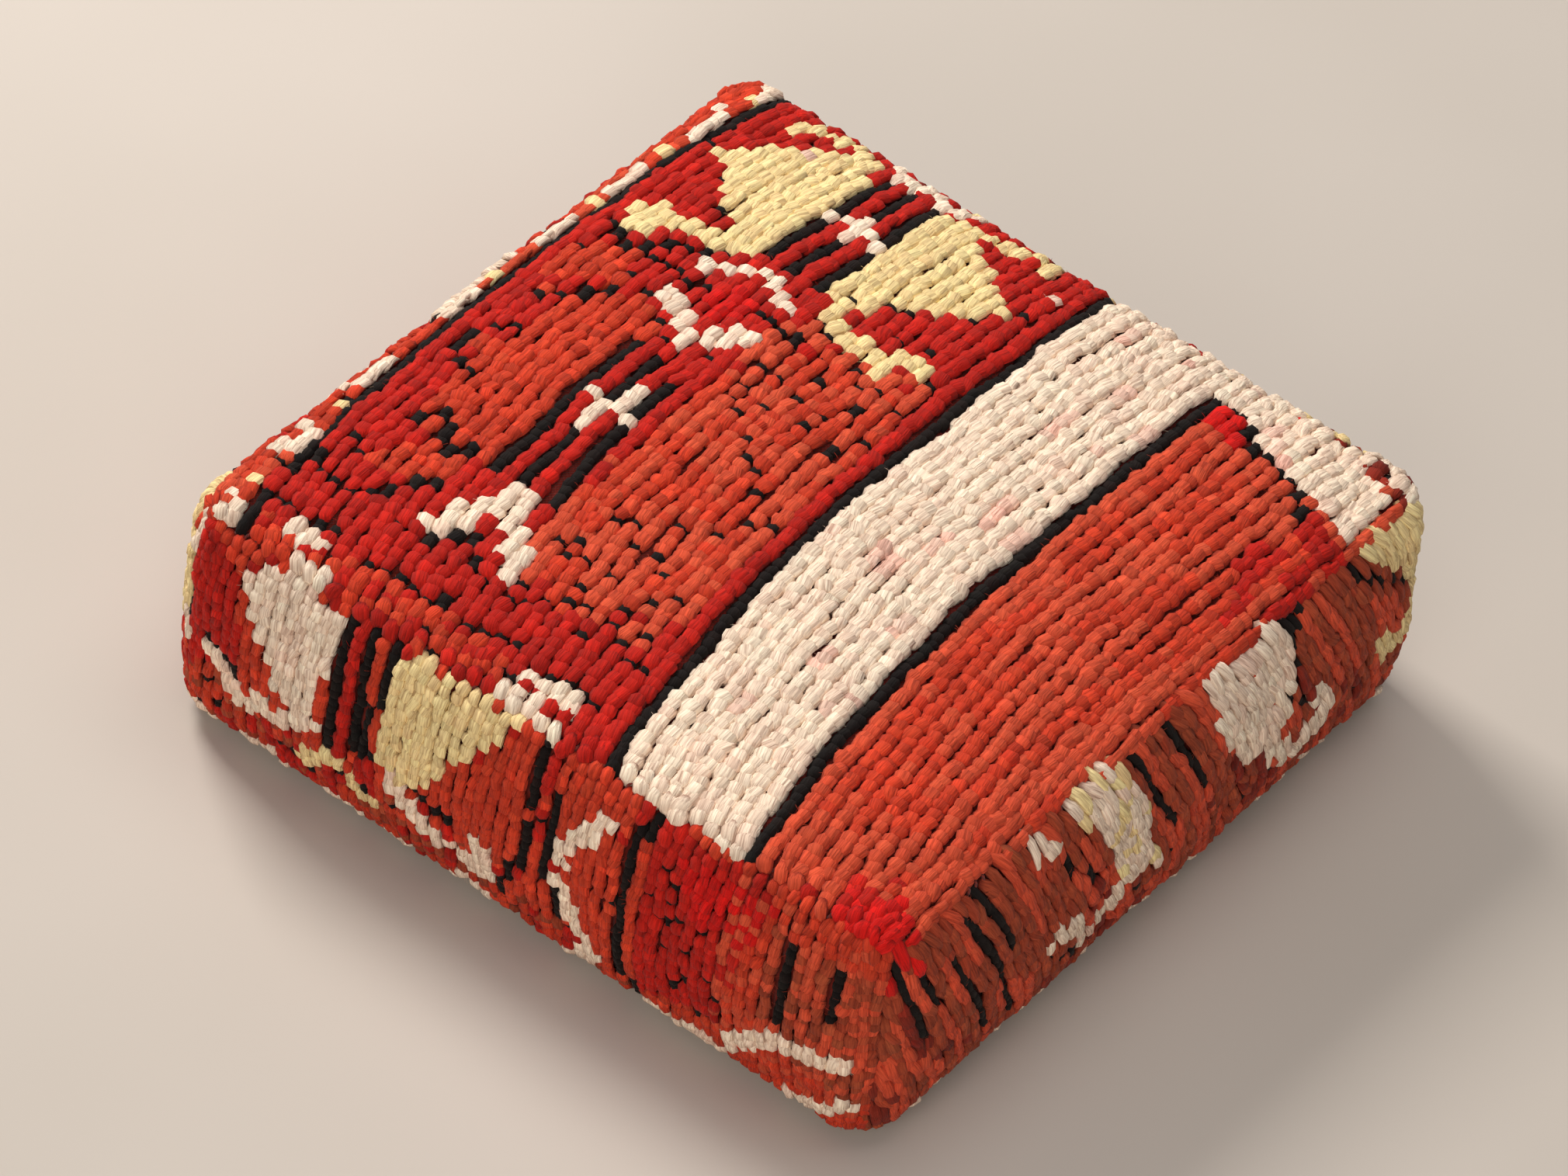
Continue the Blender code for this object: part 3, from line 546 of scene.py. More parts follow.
class Rug:
    """The knots of one panel laid flat, in centimetres, each with its yarn."""

    def __init__(self, size: Spot, pitch: Spot, bend: Bend, yarn: Yarn, seed: int) -> None:
        """Lays out columns of knots of one yarn.

        Args:
            size: width and height of the panel in centimetres.
            pitch: centimetres between columns, and between knots along a column.
            bend: how far a column lies to the right of its start, from its place and height.
            yarn: the field's wool.
            seed: of the hand's unevenness.
        """
        self.chance = np.random.default_rng(seed)
        self.size = size
        width, height = size
        columns, rows = round(width / pitch[0]), round(height / pitch[1])
        spare = 9
        starts = (np.arange(-spare, columns + spare) + 0.5) * width / columns
        up = (np.arange(rows) + 0.5) * height / rows
        start, v = np.meshgrid(starts, up, indexing="ij")
        v = v + self.chance.uniform(-0.5, 0.5, len(starts))[:, None] * pitch[1]
        v = v + self.chance.normal(0, 0.10, v.shape) * pitch[1]
        u = start + bend(start, v)
        u = u + 0.16 * ripple(u, v, seed + 900, length=5.0) + self.chance.normal(0, 0.035, u.shape) * pitch[0]
        kept = (u > 0.15) & (u < width - 0.15) & (v > 0.1) & (v < height - 0.1)
        self.u, self.v, self.start = u[kept], v[kept], start[kept]
        self.slope = bend(self.start, self.v - 0.5) - bend(self.start, self.v + 0.5)
        self.share_u, self.share_v = self.u / width, self.v / height
        self.yarn = np.full(self.u.size, YARNS.index(yarn))

    def band(self, yarn: Yarn, left: float, right: float, low: float, high: float) -> None:
        """Knots whole columns that start between two places, from one height to another."""
        picked = (self.start > left) & (self.start < right) & (self.v > low) & (self.v < high)
        self.yarn[picked] = YARNS.index(yarn)

    def rib(self, yarn: Yarn, place: float, low: float, high: float) -> None:
        """Knots the one column that starts nearest to a place, from one height to another."""
        nearest = self.start[np.abs(self.start - place).argmin()]
        self.band(yarn, nearest - 0.01, nearest + 0.01, low, high)

    def streaks(self, yarn: Yarn, count: int, longest: float, *spots: Spot) -> None:
        """Knots seeded lengths of columns inside a polygon."""
        within = self.inside(spots)
        for knot in self.chance.choice(np.flatnonzero(within), count):
            run = self.chance.uniform(0.3, 1.0) * longest
            picked = (self.start == self.start[knot]) & (np.abs(self.v - self.v[knot]) < run / 2)
            self.yarn[picked & within] = YARNS.index(yarn)

    def inside(self, spots: Sequence[Spot]) -> Array:
        """Which knots lie in a polygon: an odd number of its edges pass on one side of them."""
        corners = np.array(spots, float)
        found = np.zeros(self.u.size, bool)
        for (x0, y0), (x1, y1) in zip(corners, np.roll(corners, -1, 0)):
            crosses = (y0 > self.v) != (y1 > self.v)
            with np.errstate(divide="ignore", invalid="ignore"):
                at = x0 + (self.v - y0) * (x1 - x0) / (y1 - y0)
            found ^= crosses & (self.u < at)
        return found

    def fill(self, yarn: Yarn, *spots: Spot) -> None:
        """Knots a polygon in one yarn."""
        self.yarn[self.inside(spots)] = YARNS.index(yarn)

    def speckle(self, yarn: Yarn, share: float, *spots: Spot) -> None:
        """Knots a seeded share of a polygon in one yarn."""
        picked = self.inside(spots) & (self.chance.random(self.u.size) < share)
        self.yarn[picked] = YARNS.index(yarn)

    def line(self, yarn: Yarn, width: float, *spots: Spot) -> None:
        """Knots a line through the spots: those within half its width, and always the nearest ones."""
        for (x0, y0), (x1, y1) in zip(spots, spots[1:]):
            run = np.array((x1 - x0, y1 - y0))
            share = ((self.u - x0) * run[0] + (self.v - y0) * run[1]) / max(run @ run, 1e-9)
            share = np.clip(share, 0, 1)
            away = np.hypot(self.u - x0 - share * run[0], self.v - y0 - share * run[1])
            self.yarn[away < width / 2] = YARNS.index(yarn)
            steps = np.linspace(0, 1, int(np.hypot(*run) / 0.6) + 2)
            at = np.array((x0, y0))[None] + steps[:, None] * run[None]
            gaps = np.hypot(self.u[None] - at[:, :1], self.v[None] - at[:, 1:])
            near = gaps.argmin(1)
            near = near[gaps[np.arange(len(near)), near] < 1.4]
            self.yarn[near] = YARNS.index(yarn)

    def dots(self, yarn: Yarn, *spots: Spot) -> None:
        """Knots single spots: the nearest knot to each."""
        for x, y in spots:
            self.yarn[np.hypot(self.u - x, self.v - y).argmin()] = YARNS.index(yarn)


def draw_top(rug: Rug) -> None:
    """Knots the top: a flowered border, twin triangles and medallions, a white band and a plain field."""
    y, i, k = Yarn.YELLOW, Yarn.IVORY, Yarn.BLACK
    rug.band(Yarn.ORANGE, -9, 1.4, -1, 61)
    rug.streaks(Yarn.TERRACOTTA, 10, 7, (-1, -1), (3, -1), (3, 61), (-1, 61))
    for height in (0.4, 9.5, 17.5, 27, 37.5, 44.5, 52.5, 59):
        lean = 2.6 * max(0, (30 - height) / 32) ** 1.35 + 2.8 * max(0, (height - 32) / 28) ** 1.5
        rug.line(i, 0.9, (0.3 + lean, height + 1.8), (1.1 + lean, height), (0.2 + lean, height - 1.6))
        rug.dots(k, (1.3 + lean, height - 2.4))
        rug.dots(Yarn.YELLOW, (0.9 + lean, height + 4.2))
    # left medallion and ground
    rug.fill(Yarn.ORANGE, (6, 17), (13, 12), (14, 33), (11, 35), (5, 32))
    rug.streaks(Yarn.CRIMSON, 26, 6, (3, 8), (10, 8), (8, 20), (6, 33), (2, 33))
    rug.fill(Yarn.ORANGE, (7, 10.4), (12.4, 11), (13.4, 16), (9, 13.4))
    rug.fill(Yarn.ORANGE, (4, 33), (9, 35), (8, 38.4), (3.4, 37))
    rug.fill(Yarn.ORANGE, (20, 12), (26, 8), (32, 14), (32, 38), (24, 40), (20, 33))
    rug.streaks(Yarn.TERRACOTTA, 60, 5, (20, 9), (32, 9), (32, 41), (19, 41))
    rug.speckle(Yarn.TERRACOTTA, 0.25, (20, 9), (32, 9), (32, 41), (19, 41))
    rug.band(Yarn.CRIMSON, 30.6, 32.6, -1, 61)
    rug.rib(k, 1.9, -1, 61)
    # twin triangles with hooked ends
    rug.fill(y, (14.2, 43.6), (14.2, 57.4), (12.6, 57.6), (9.4, 54.6), (5.0, 50.4), (9.8, 46), (11.6, 43.8))
    rug.line(y, 1.3, (13.5, 57.6), (11, 58.8), (8.6, 58.2), (7.0, 56.2))
    rug.dots(k, (4.2, 50.4), (7, 48), (8.8, 45.4), (7.2, 53.8), (8.8, 55.8), (10, 56.8))
    rug.line(y, 1.6, (13.8, 44), (11, 42.8), (7.5, 42.4), (5.6, 39.6))
    rug.line(y, 1.2, (4.6, 42.2), (6.0, 43.6), (6.2, 41))
    rug.line(k, 0.7, (4.2, 40.5), (6.6, 38.5), (9, 40.4), (12.5, 42))
    rug.fill(y, (19.6, 43), (19.6, 56.4), (21.6, 57.3), (25, 54.8), (30.2, 50.6), (24.6, 46.6), (22, 43.4))
    rug.line(y, 1.3, (22.5, 57), (25, 57.8), (28.2, 59.6), (28.6, 57.6))
    rug.dots(k, (21.9, 44.2), (23.2, 45.7), (24.4, 46.8), (28.4, 49), (30.6, 51.6))
    rug.line(y, 1.5, (21, 42.6), (23.4, 41.2), (26, 40.8), (27.4, 42.4), (29.2, 42.0))
    rug.line(y, 1.0, (26, 41.4), (27.6, 39.6))
    rug.dots(k, (21.5, 41), (23, 40), (25.6, 39), (28.3, 38.8), (30, 42), (26, 43.4), (28.4, 43.7))
    rug.dots(Yarn.PINK, (30.6, 54.6), (10.2, 54.4))
    # bars between them
    rug.band(Yarn.CRIMSON, 14.9, 19.4, 43.6, 58)
    for place in (14.4, 16.7, 19.0):
        rug.rib(k, place, 43.4, 57.6)
    rug.line(i, 0.7, (15.4, 50.3), (19.0, 50.3))
    rug.line(i, 0.6, (17.1, 48.9), (17.1, 51.6))
    rug.line(i, 1.1, (14.8, 59.4), (16, 57.8), (17.6, 59), (19.6, 57.8), (21.4, 59.2))
    # small lozenge
    rug.line(i, 0.7, (12.4, 40.2), (13.6, 41.2), (15.6, 42.2), (17.6, 41.2), (19.0, 40.2))
    rug.fill(Yarn.VIVID, (13.8, 38.2), (15.8, 40.4), (17.8, 38.2), (15.8, 36.2))
    rug.line(k, 0.7, (9.5, 38.8), (13.0, 38.4))
    rug.line(k, 0.7, (18.6, 38.4), (21, 38.8))
    rug.line(i, 1.4, (12.4, 36.4), (14.0, 35.4), (15.8, 33.6), (17.6, 35.4), (19.2, 36.4))
    rug.dots(k, (11.4, 35.4), (13, 34), (14.4, 32.6), (15.8, 31.6), (17.6, 33.4))
    # bars and lines of the medallions
    rug.band(Yarn.CRIMSON, 12.8, 18.4, 15, 32)
    rug.rib(k, 13.0, 14.6, 32)
    rug.rib(k, 15.6, 15, 31.4)
    rug.rib(k, 17.9, 15, 30)
    rug.line(i, 1.0, (16.6, 27.4), (16.4, 22.8))
    rug.line(i, 1.1, (14.6, 25), (18.6, 25))
    rug.line(k, 0.7, (5.4, 26.6), (4, 24), (6.4, 21.5))
    rug.line(k, 0.7, (7, 15.5), (8.6, 17.6), (11.2, 14.6), (12.2, 16.2))
    rug.line(k, 0.7, (5, 31), (7.6, 32.6), (8.6, 34.2))
    rug.line(k, 0.7, (4, 9.4), (6, 8.0), (9, 7.8), (11.6, 10.6), (12.6, 12.4))
    rug.dots(k, (6.6, 10.8), (5, 12), (9.6, 16.6), (3.4, 14), (9, 36), (4.5, 36.5), (6, 38), (7, 27), (6, 22))
    # chevron
    rug.line(i, 1.9, (15.0, 9), (17.4, 14.2))
    rug.line(i, 1.9, (17.6, 13.6), (21.4, 8.8))
    rug.line(k, 0.7, (12.5, 7.6), (14.6, 7.2), (17.4, 10.2), (19.6, 7.2), (23.5, 7.4))
    rug.fill(Yarn.CRIMSON, (4, 4.8), (34, 4.8), (34, 7.0), (4, 7.0))
    for left, right in ((4.8, 10), (13, 17), (18.4, 19.6), (21, 25), (27, 32)):
        rug.line(k, 0.7, (left, 3.9), (right, 4.4))
    rug.speckle(Yarn.ORANGE, 0.6, (5, 0), (27, 0), (27, 3.6), (5, 3.6))
    rug.speckle(k, 0.10, (10, 0.5), (26, 0.5), (26, 3.6), (10, 3.6))
    rug.line(i, 1.2, (7.4, 2.6), (9.8, 2.8))
    rug.line(i, 1.2, (9.6, 0.9), (12, 0.4))
    rug.line(i, 1.3, (27.8, 3), (31, 3.2))
    rug.line(i, 1.2, (28.8, 1.8), (26.6, 0.3), (31.8, 0.2))
    rug.line(k, 0.7, (25.4, 2), (27, 1.6))
    # right medallion, its outlines single dark knots
    for spots in (
        [(21, 31), (24.5, 28.8), (27.5, 26.5), (30.4, 23.8), (28.4, 20.8), (25, 17.8)],
        [(26, 27.6), (29.4, 22.4)],
        [(21.2, 38.4), (23.8, 38), (26.6, 37.4), (30, 37.8), (28.6, 36.6), (24.6, 36.4)],
        [(23, 35), (25.4, 34), (28, 35.6), (30.4, 33.4), (27.6, 34), (29.2, 32.4)],
        [(21.8, 33), (24, 32.2), (26.8, 32.8), (29, 31), (22.6, 30.2), (20.8, 34.8)],
        [(23, 14), (25.6, 15.8), (28.6, 15), (30.6, 13.8), (27.4, 16.4), (24.4, 13.4)],
        [(22.4, 12), (25, 11), (29, 11.6), (31, 10.4), (27, 10.2), (30, 12.6)],
        [(22, 9), (24.8, 8.4), (27.8, 8), (30.6, 8.6), (26, 9.4), (29.4, 9.6)],
        [(26.4, 13), (23.6, 17), (21.6, 13.4), (29, 25.4), (27, 19.4), (32, 7.6), (33, 8.4)],
    ):
        rug.dots(k, *spots)
    # white band and its dark edges
    rug.band(i, 33.4, 44.0, -1, 61)
    rug.streaks(Yarn.PINK, 16, 3.5, (34, 57), (34, 6), (47, 2), (43, 57))
    rug.rib(k, 33.1, -1, 61)
    # plain field, the band's return and the far corner
    rug.band(Yarn.TERRACOTTA, 44.2, 70, -1, 61)
    rug.rib(k, 44.2, -1, 55.4)
    rug.fill(Yarn.VIVID, (44.8, 54.6), (44.8, 52), (48, 51.4), (49, 53))
    rug.streaks(Yarn.ORANGE, 46, 9, (46, 50), (47, 4), (61, 4), (61, 48))
    rug.streaks(Yarn.CRIMSON, 9, 5, (54, 40), (61, 36), (61, 49), (55, 50))
    rug.fill(Yarn.VIVID, (54.5, -1), (61, -1), (60.5, 3.4), (57, 4.4), (54.2, 2.4))
    rug.speckle(Yarn.CRIMSON, 0.35, (50, -1), (55, -1), (57, 6), (53, 5))
    rug.fill(Yarn.OXBLOOD, (44, 61), (47, 59.8), (53, 58), (61, 56), (61, 61))
    turned = ((43.4, 61), (43.4, 55.6), (49, 53), (53, 51.6), (58.4, 50.6), (58.8, 56), (53, 58.2), (47, 60))
    rug.fill(i, *turned)
    rug.streaks(Yarn.PINK, 4, 2.5, (43.8, 60), (43.8, 55.4), (58.4, 50.6), (58.6, 56))
    rug.dots(Yarn.VIVID, (49.5, 58))
    rug.line(k, 0.7, (44.6, 55), (48, 53.8), (49.6, 52.4), (52, 52.2), (53.8, 51), (55.6, 49.4))
    rug.fill(Yarn.CRIMSON, (55.4, 50.4), (61, 50), (61, 47.6), (56, 47.6))
    rug.line(i, 1.5, (54, 58.8), (55.4, 60.8), (57.2, 59.2), (59.0, 58.4), (59.6, 60.8))
    rug.line(y, 0.9, (47.6, 61), (49, 59.6))
    rug.line(y, 0.9, (50.4, 60.8), (52, 59.4))
    rug.speckle(k, 0.2, (46, 60.8), (54, 59), (61, 57), (61, 58.4), (54, 60.4))
    rug.band(Yarn.OXBLOOD, 2.4, 33, 60, 61)
    rug.speckle(i, 0.3, (6, 60.2), (32, 60.2), (32, 61), (6, 61))


def draw_front(rug: Rug) -> None:
    """Knots the front: the cut ends of the same motifs, over a dashed hem."""
    y, i, k = Yarn.YELLOW, Yarn.IVORY, Yarn.BLACK
    rug.streaks(Yarn.CRIMSON, 60, 6, (-1, -1), (40, -1), (40, 21), (-1, 21))
    rug.speckle(Yarn.BROWN, 0.2, (0, 0), (40, 0), (40, 6), (0, 6))
    rug.fill(y, (-1, 8), (1.2, 10), (0.8, 17), (-1, 20))
    rug.line(k, 0.9, (0.8, 20), (1.6, 9))
    rug.line(i, 1.2, (1.2, 20), (1.4, 16.6))
    rug.fill(Yarn.CRIMSON, (2, 5), (7, 9), (6, 17), (2, 20))
    rug.fill(i, (5.8, 17), (8, 19), (14, 19), (14, 8), (11.6, 8), (9.4, 12), (7.6, 15))
    rug.line(i, 1.6, (13.4, 8.6), (11, 6.4), (9, 6.8), (7.4, 4.6), (5.6, 7.2), (4.2, 8))
    rug.line(i, 1.3, (-1, 8.4), (1.6, 8))
    rug.line(k, 0.9, (4, 9.4), (6.4, 8.8), (7, 6.6))
    rug.line(k, 0.9, (14.8, 19.5), (14.8, 7))
    rug.line(Yarn.CRIMSON, 0.9, (15.8, 19.5), (15.8, 7.5))
    rug.line(k, 0.9, (16.6, 19.5), (16.6, 8))
    rug.line(k, 0.9, (18.4, 19.5), (18.2, 8))
    rug.fill(y, (18.8, 19), (29, 19.2), (26.4, 15), (25, 13), (22.2, 8), (19, 8.6))
    rug.line(i, 1.6, (20.4, 8), (23.6, 5), (26.4, 3.4), (28.4, 4), (28.2, 7.2))
    rug.line(k, 0.9, (22.6, 8.6), (24.6, 6.6), (26.6, 9.8))
    rug.line(y, 1.4, (12.6, 3.4), (15.2, 6.2), (18.4, 3.6))
    rug.line(k, 0.9, (11, 3), (13.4, 2.4))
    rug.fill(Yarn.ORANGE, (25, 8), (30.6, 8), (31, 17.4), (28.6, 18.4), (26.8, 14))
    rug.line(k, 0.9, (31, 19), (31.8, 13), (31, 8), (29.2, 3))
    rug.line(i, 1.6, (37, 16.6), (34.4, 11))
    rug.line(i, 1.6, (34.4, 9), (35.6, 5.4), (37, 2.4), (35.4, 0.4))
    rug.line(k, 0.9, (33.2, 16), (33, 11), (34.6, 3.4))
    rug.fill(Yarn.ORANGE, (35, 12), (39.4, 17), (39.4, 1), (38, 1))
    rug.line(k, 1.0, (40.2, 19.5), (39.2, 10), (40.4, 0))
    rug.fill(Yarn.CRIMSON, (40.8, 19), (50, 19), (48, 5), (41, 2))
    rug.speckle(k, 0.2, (41, 17), (48, 17), (48, 3), (41, 2))
    rug.fill(Yarn.VIVID, (43, 17.6), (50.6, 18), (49, 13), (45, 13.4))
    rug.fill(Yarn.BROWN, (50.4, 16.6), (61, 17), (61, 3), (50.4, 7))
    rug.speckle(Yarn.TERRACOTTA, 0.4, (47, 19), (61, 19), (61, 2), (47, 2))
    rug.line(k, 0.9, (52.6, 16), (52.4, 9))
    rug.line(k, 0.9, (56, 16), (55.8, 11.6))
    rug.line(i, 1.5, (48.8, 3.2), (51, 5.8), (53.6, 7.4), (57.4, 7.8))
    rug.speckle(k, 0.10, (2, 1), (38, 1), (38, 5), (2, 5))
    for left, right in ((1.5, 4), (7, 10), (14, 17), (19.5, 21), (25, 28)):
        rug.line(i, 0.6, (left, 0.4), (right, 0.4))
    rug.line(i, 1.2, (42, 0.4), (48, 0.6))
    rug.line(i, 1.2, (53.6, 0.4), (55.6, 1.6), (58.4, 3.4))


def draw_right(rug: Rug) -> None:
    """Knots the right side: long brown-red strands with slanting cream blocks."""
    y, i, k = Yarn.YELLOW, Yarn.IVORY, Yarn.BLACK
    rug.streaks(Yarn.TERRACOTTA, 90, 12, (-1, -1), (61, -1), (61, 21), (-1, 21))
    rug.streaks(Yarn.OXBLOOD, 26, 7, (-1, -1), (61, -1), (61, 21), (-1, 21))
    rug.speckle(Yarn.OXBLOOD, 0.07, (-1, -1), (61, -1), (61, 9), (-1, 9))
    rug.speckle(Yarn.VIVID, 0.4, (-1, 16), (3, 16), (3, 21), (-1, 21))
    ribs = ((4.2, 9, 19), (8.6, 5, 16), (11.6, 3, 19), (13.0, 12, 20), (26.6, 10, 20.5), (30.4, 10, 20))
    for place, low, high in (*ribs, (34.0, 11, 20.5), (6.2, 12, 17)):
        rug.rib(k, place, low, high)
    rug.line(i, 1.3, (15.4, 19.6), (17.2, 17.6))
    rug.fill(i, (19, 20), (24, 20.4), (28.4, 8.4), (25.4, 8), (22.8, 13))
    rug.speckle(Yarn.YELLOW, 0.4, (19, 20), (24, 20.4), (28.4, 8.4), (25.4, 8))
    rug.line(i, 1.6, (16.6, 9.2), (18.8, 9.6), (20.6, 6.2), (23.6, 7), (25.8, 9))
    rug.line(k, 0.9, (17.6, 16), (21.6, 11.6))
    rug.line(k, 0.9, (18, 6.8), (20.4, 4.6))
    rug.fill(i, (33.2, 20.4), (41.6, 20.4), (43.4, 17), (42, 11), (37.4, 10.4), (35.4, 14))
    rug.dots(Yarn.TERRACOTTA, (38.6, 18), (40.4, 13))
    rug.line(k, 0.9, (43.6, 19.6), (42.8, 12.4))
    rug.line(i, 1.7, (40.4, 10), (42.4, 7.4), (45, 6.4), (46.8, 9.4), (46, 10.8))
    rug.line(k, 0.9, (44.4, 10.4), (43.8, 12))
    rug.fill(y, (48.8, 21), (61, 21), (61, 11.6), (58.8, 10.8), (55, 16))
    rug.line(y, 1.7, (53, 10), (54.8, 7.6), (57, 8.8), (59, 11))
    rug.line(k, 0.9, (50, 18.6), (54, 15), (57.4, 12))
    rug.speckle(k, 0.08, (15, 1), (61, 1), (61, 8), (15, 8))
    rug.speckle(i, 0.26, (3, -1), (61, -1), (61, 0.9), (3, 0.9))


def draw_back(rug: Rug) -> None:
    """Knots the back: more of the same rug, a border of hooks over plain brown-red."""
    y, i, k = Yarn.YELLOW, Yarn.IVORY, Yarn.BLACK
    rug.speckle(Yarn.CRIMSON, 0.4, (-1, -1), (61, -1), (61, 21), (-1, 21))
    rug.speckle(Yarn.OXBLOOD, 0.2, (-1, 10), (61, 10), (61, 21), (-1, 21))
    rug.line(k, 0.9, (0, 12.4), (61, 13.2))
    rug.line(k, 0.9, (0, 4), (61, 4.4))
    for middle in (7, 18, 29, 40, 51):
        spots = [(middle - 3.4, 10.4), (middle, 6), (middle + 3.4, 10.4)]
        rug.line(y if middle % 2 else i, 1.8, *spots)
        rug.line(k, 0.9, (middle - 1.6, 11), (middle, 8.4), (middle + 1.6, 11))
        rug.line(i, 1.2, (middle + 4.6, 16), (middle + 6.4, 18.6))
        rug.line(y, 1.2, (middle - 1.2, 18.8), (middle + 1, 15.8))
        point = middle + 5.6
        rug.fill(Yarn.VIVID, (point - 1.2, 8.6), (point, 10.4), (point + 1.2, 8.6), (point, 6.8))
    rug.line(i, 0.9, (3, 0.5), (16, 0.4))
    rug.line(i, 0.9, (30, 0.5), (44, 0.4))


def draw_left(rug: Rug) -> None:
    """Knots the left side: stripes of the rug's border and one pale end."""
    y, i, k = Yarn.YELLOW, Yarn.IVORY, Yarn.BLACK
    rug.speckle(Yarn.CRIMSON, 0.35, (-1, -1), (61, -1), (61, 21), (-1, 21))
    rug.fill(y, (55, 20.5), (61, 20.5), (61, 7), (58, 8.6), (55.4, 14))
    rug.line(k, 0.9, (54, 20), (54.4, 13), (57.4, 7.4))
    rug.fill(i, (25, 21), (34, 21), (33, 17), (26, 16))
    rug.line(k, 0.9, (24.4, 20), (25.4, 15.4), (33.6, 16), (34.8, 20))
    rug.fill(Yarn.TERRACOTTA, (0, 3), (22, 3), (22, 18), (0, 18))
    rug.line(k, 1.0, (22.4, 20), (22.6, 2))
    rug.fill(i, (37, 18), (46, 18), (41.5, 9))
    rug.line(i, 1.6, (41.5, 8), (38.6, 5), (40.4, 3.4))
    rug.line(k, 0.9, (36, 17.6), (41, 8.2))
    rug.line(y, 1.4, (5, 10), (8, 13.4), (11, 10), (14, 13.4), (17, 10))
    rug.line(k, 0.9, (5, 8.6), (8, 12), (11, 8.6), (14, 12), (17, 8.6))
    rug.line(i, 0.9, (3, 0.5), (20, 0.4))
    rug.line(i, 0.9, (34, 0.5), (52, 0.4))


# The stuffed form


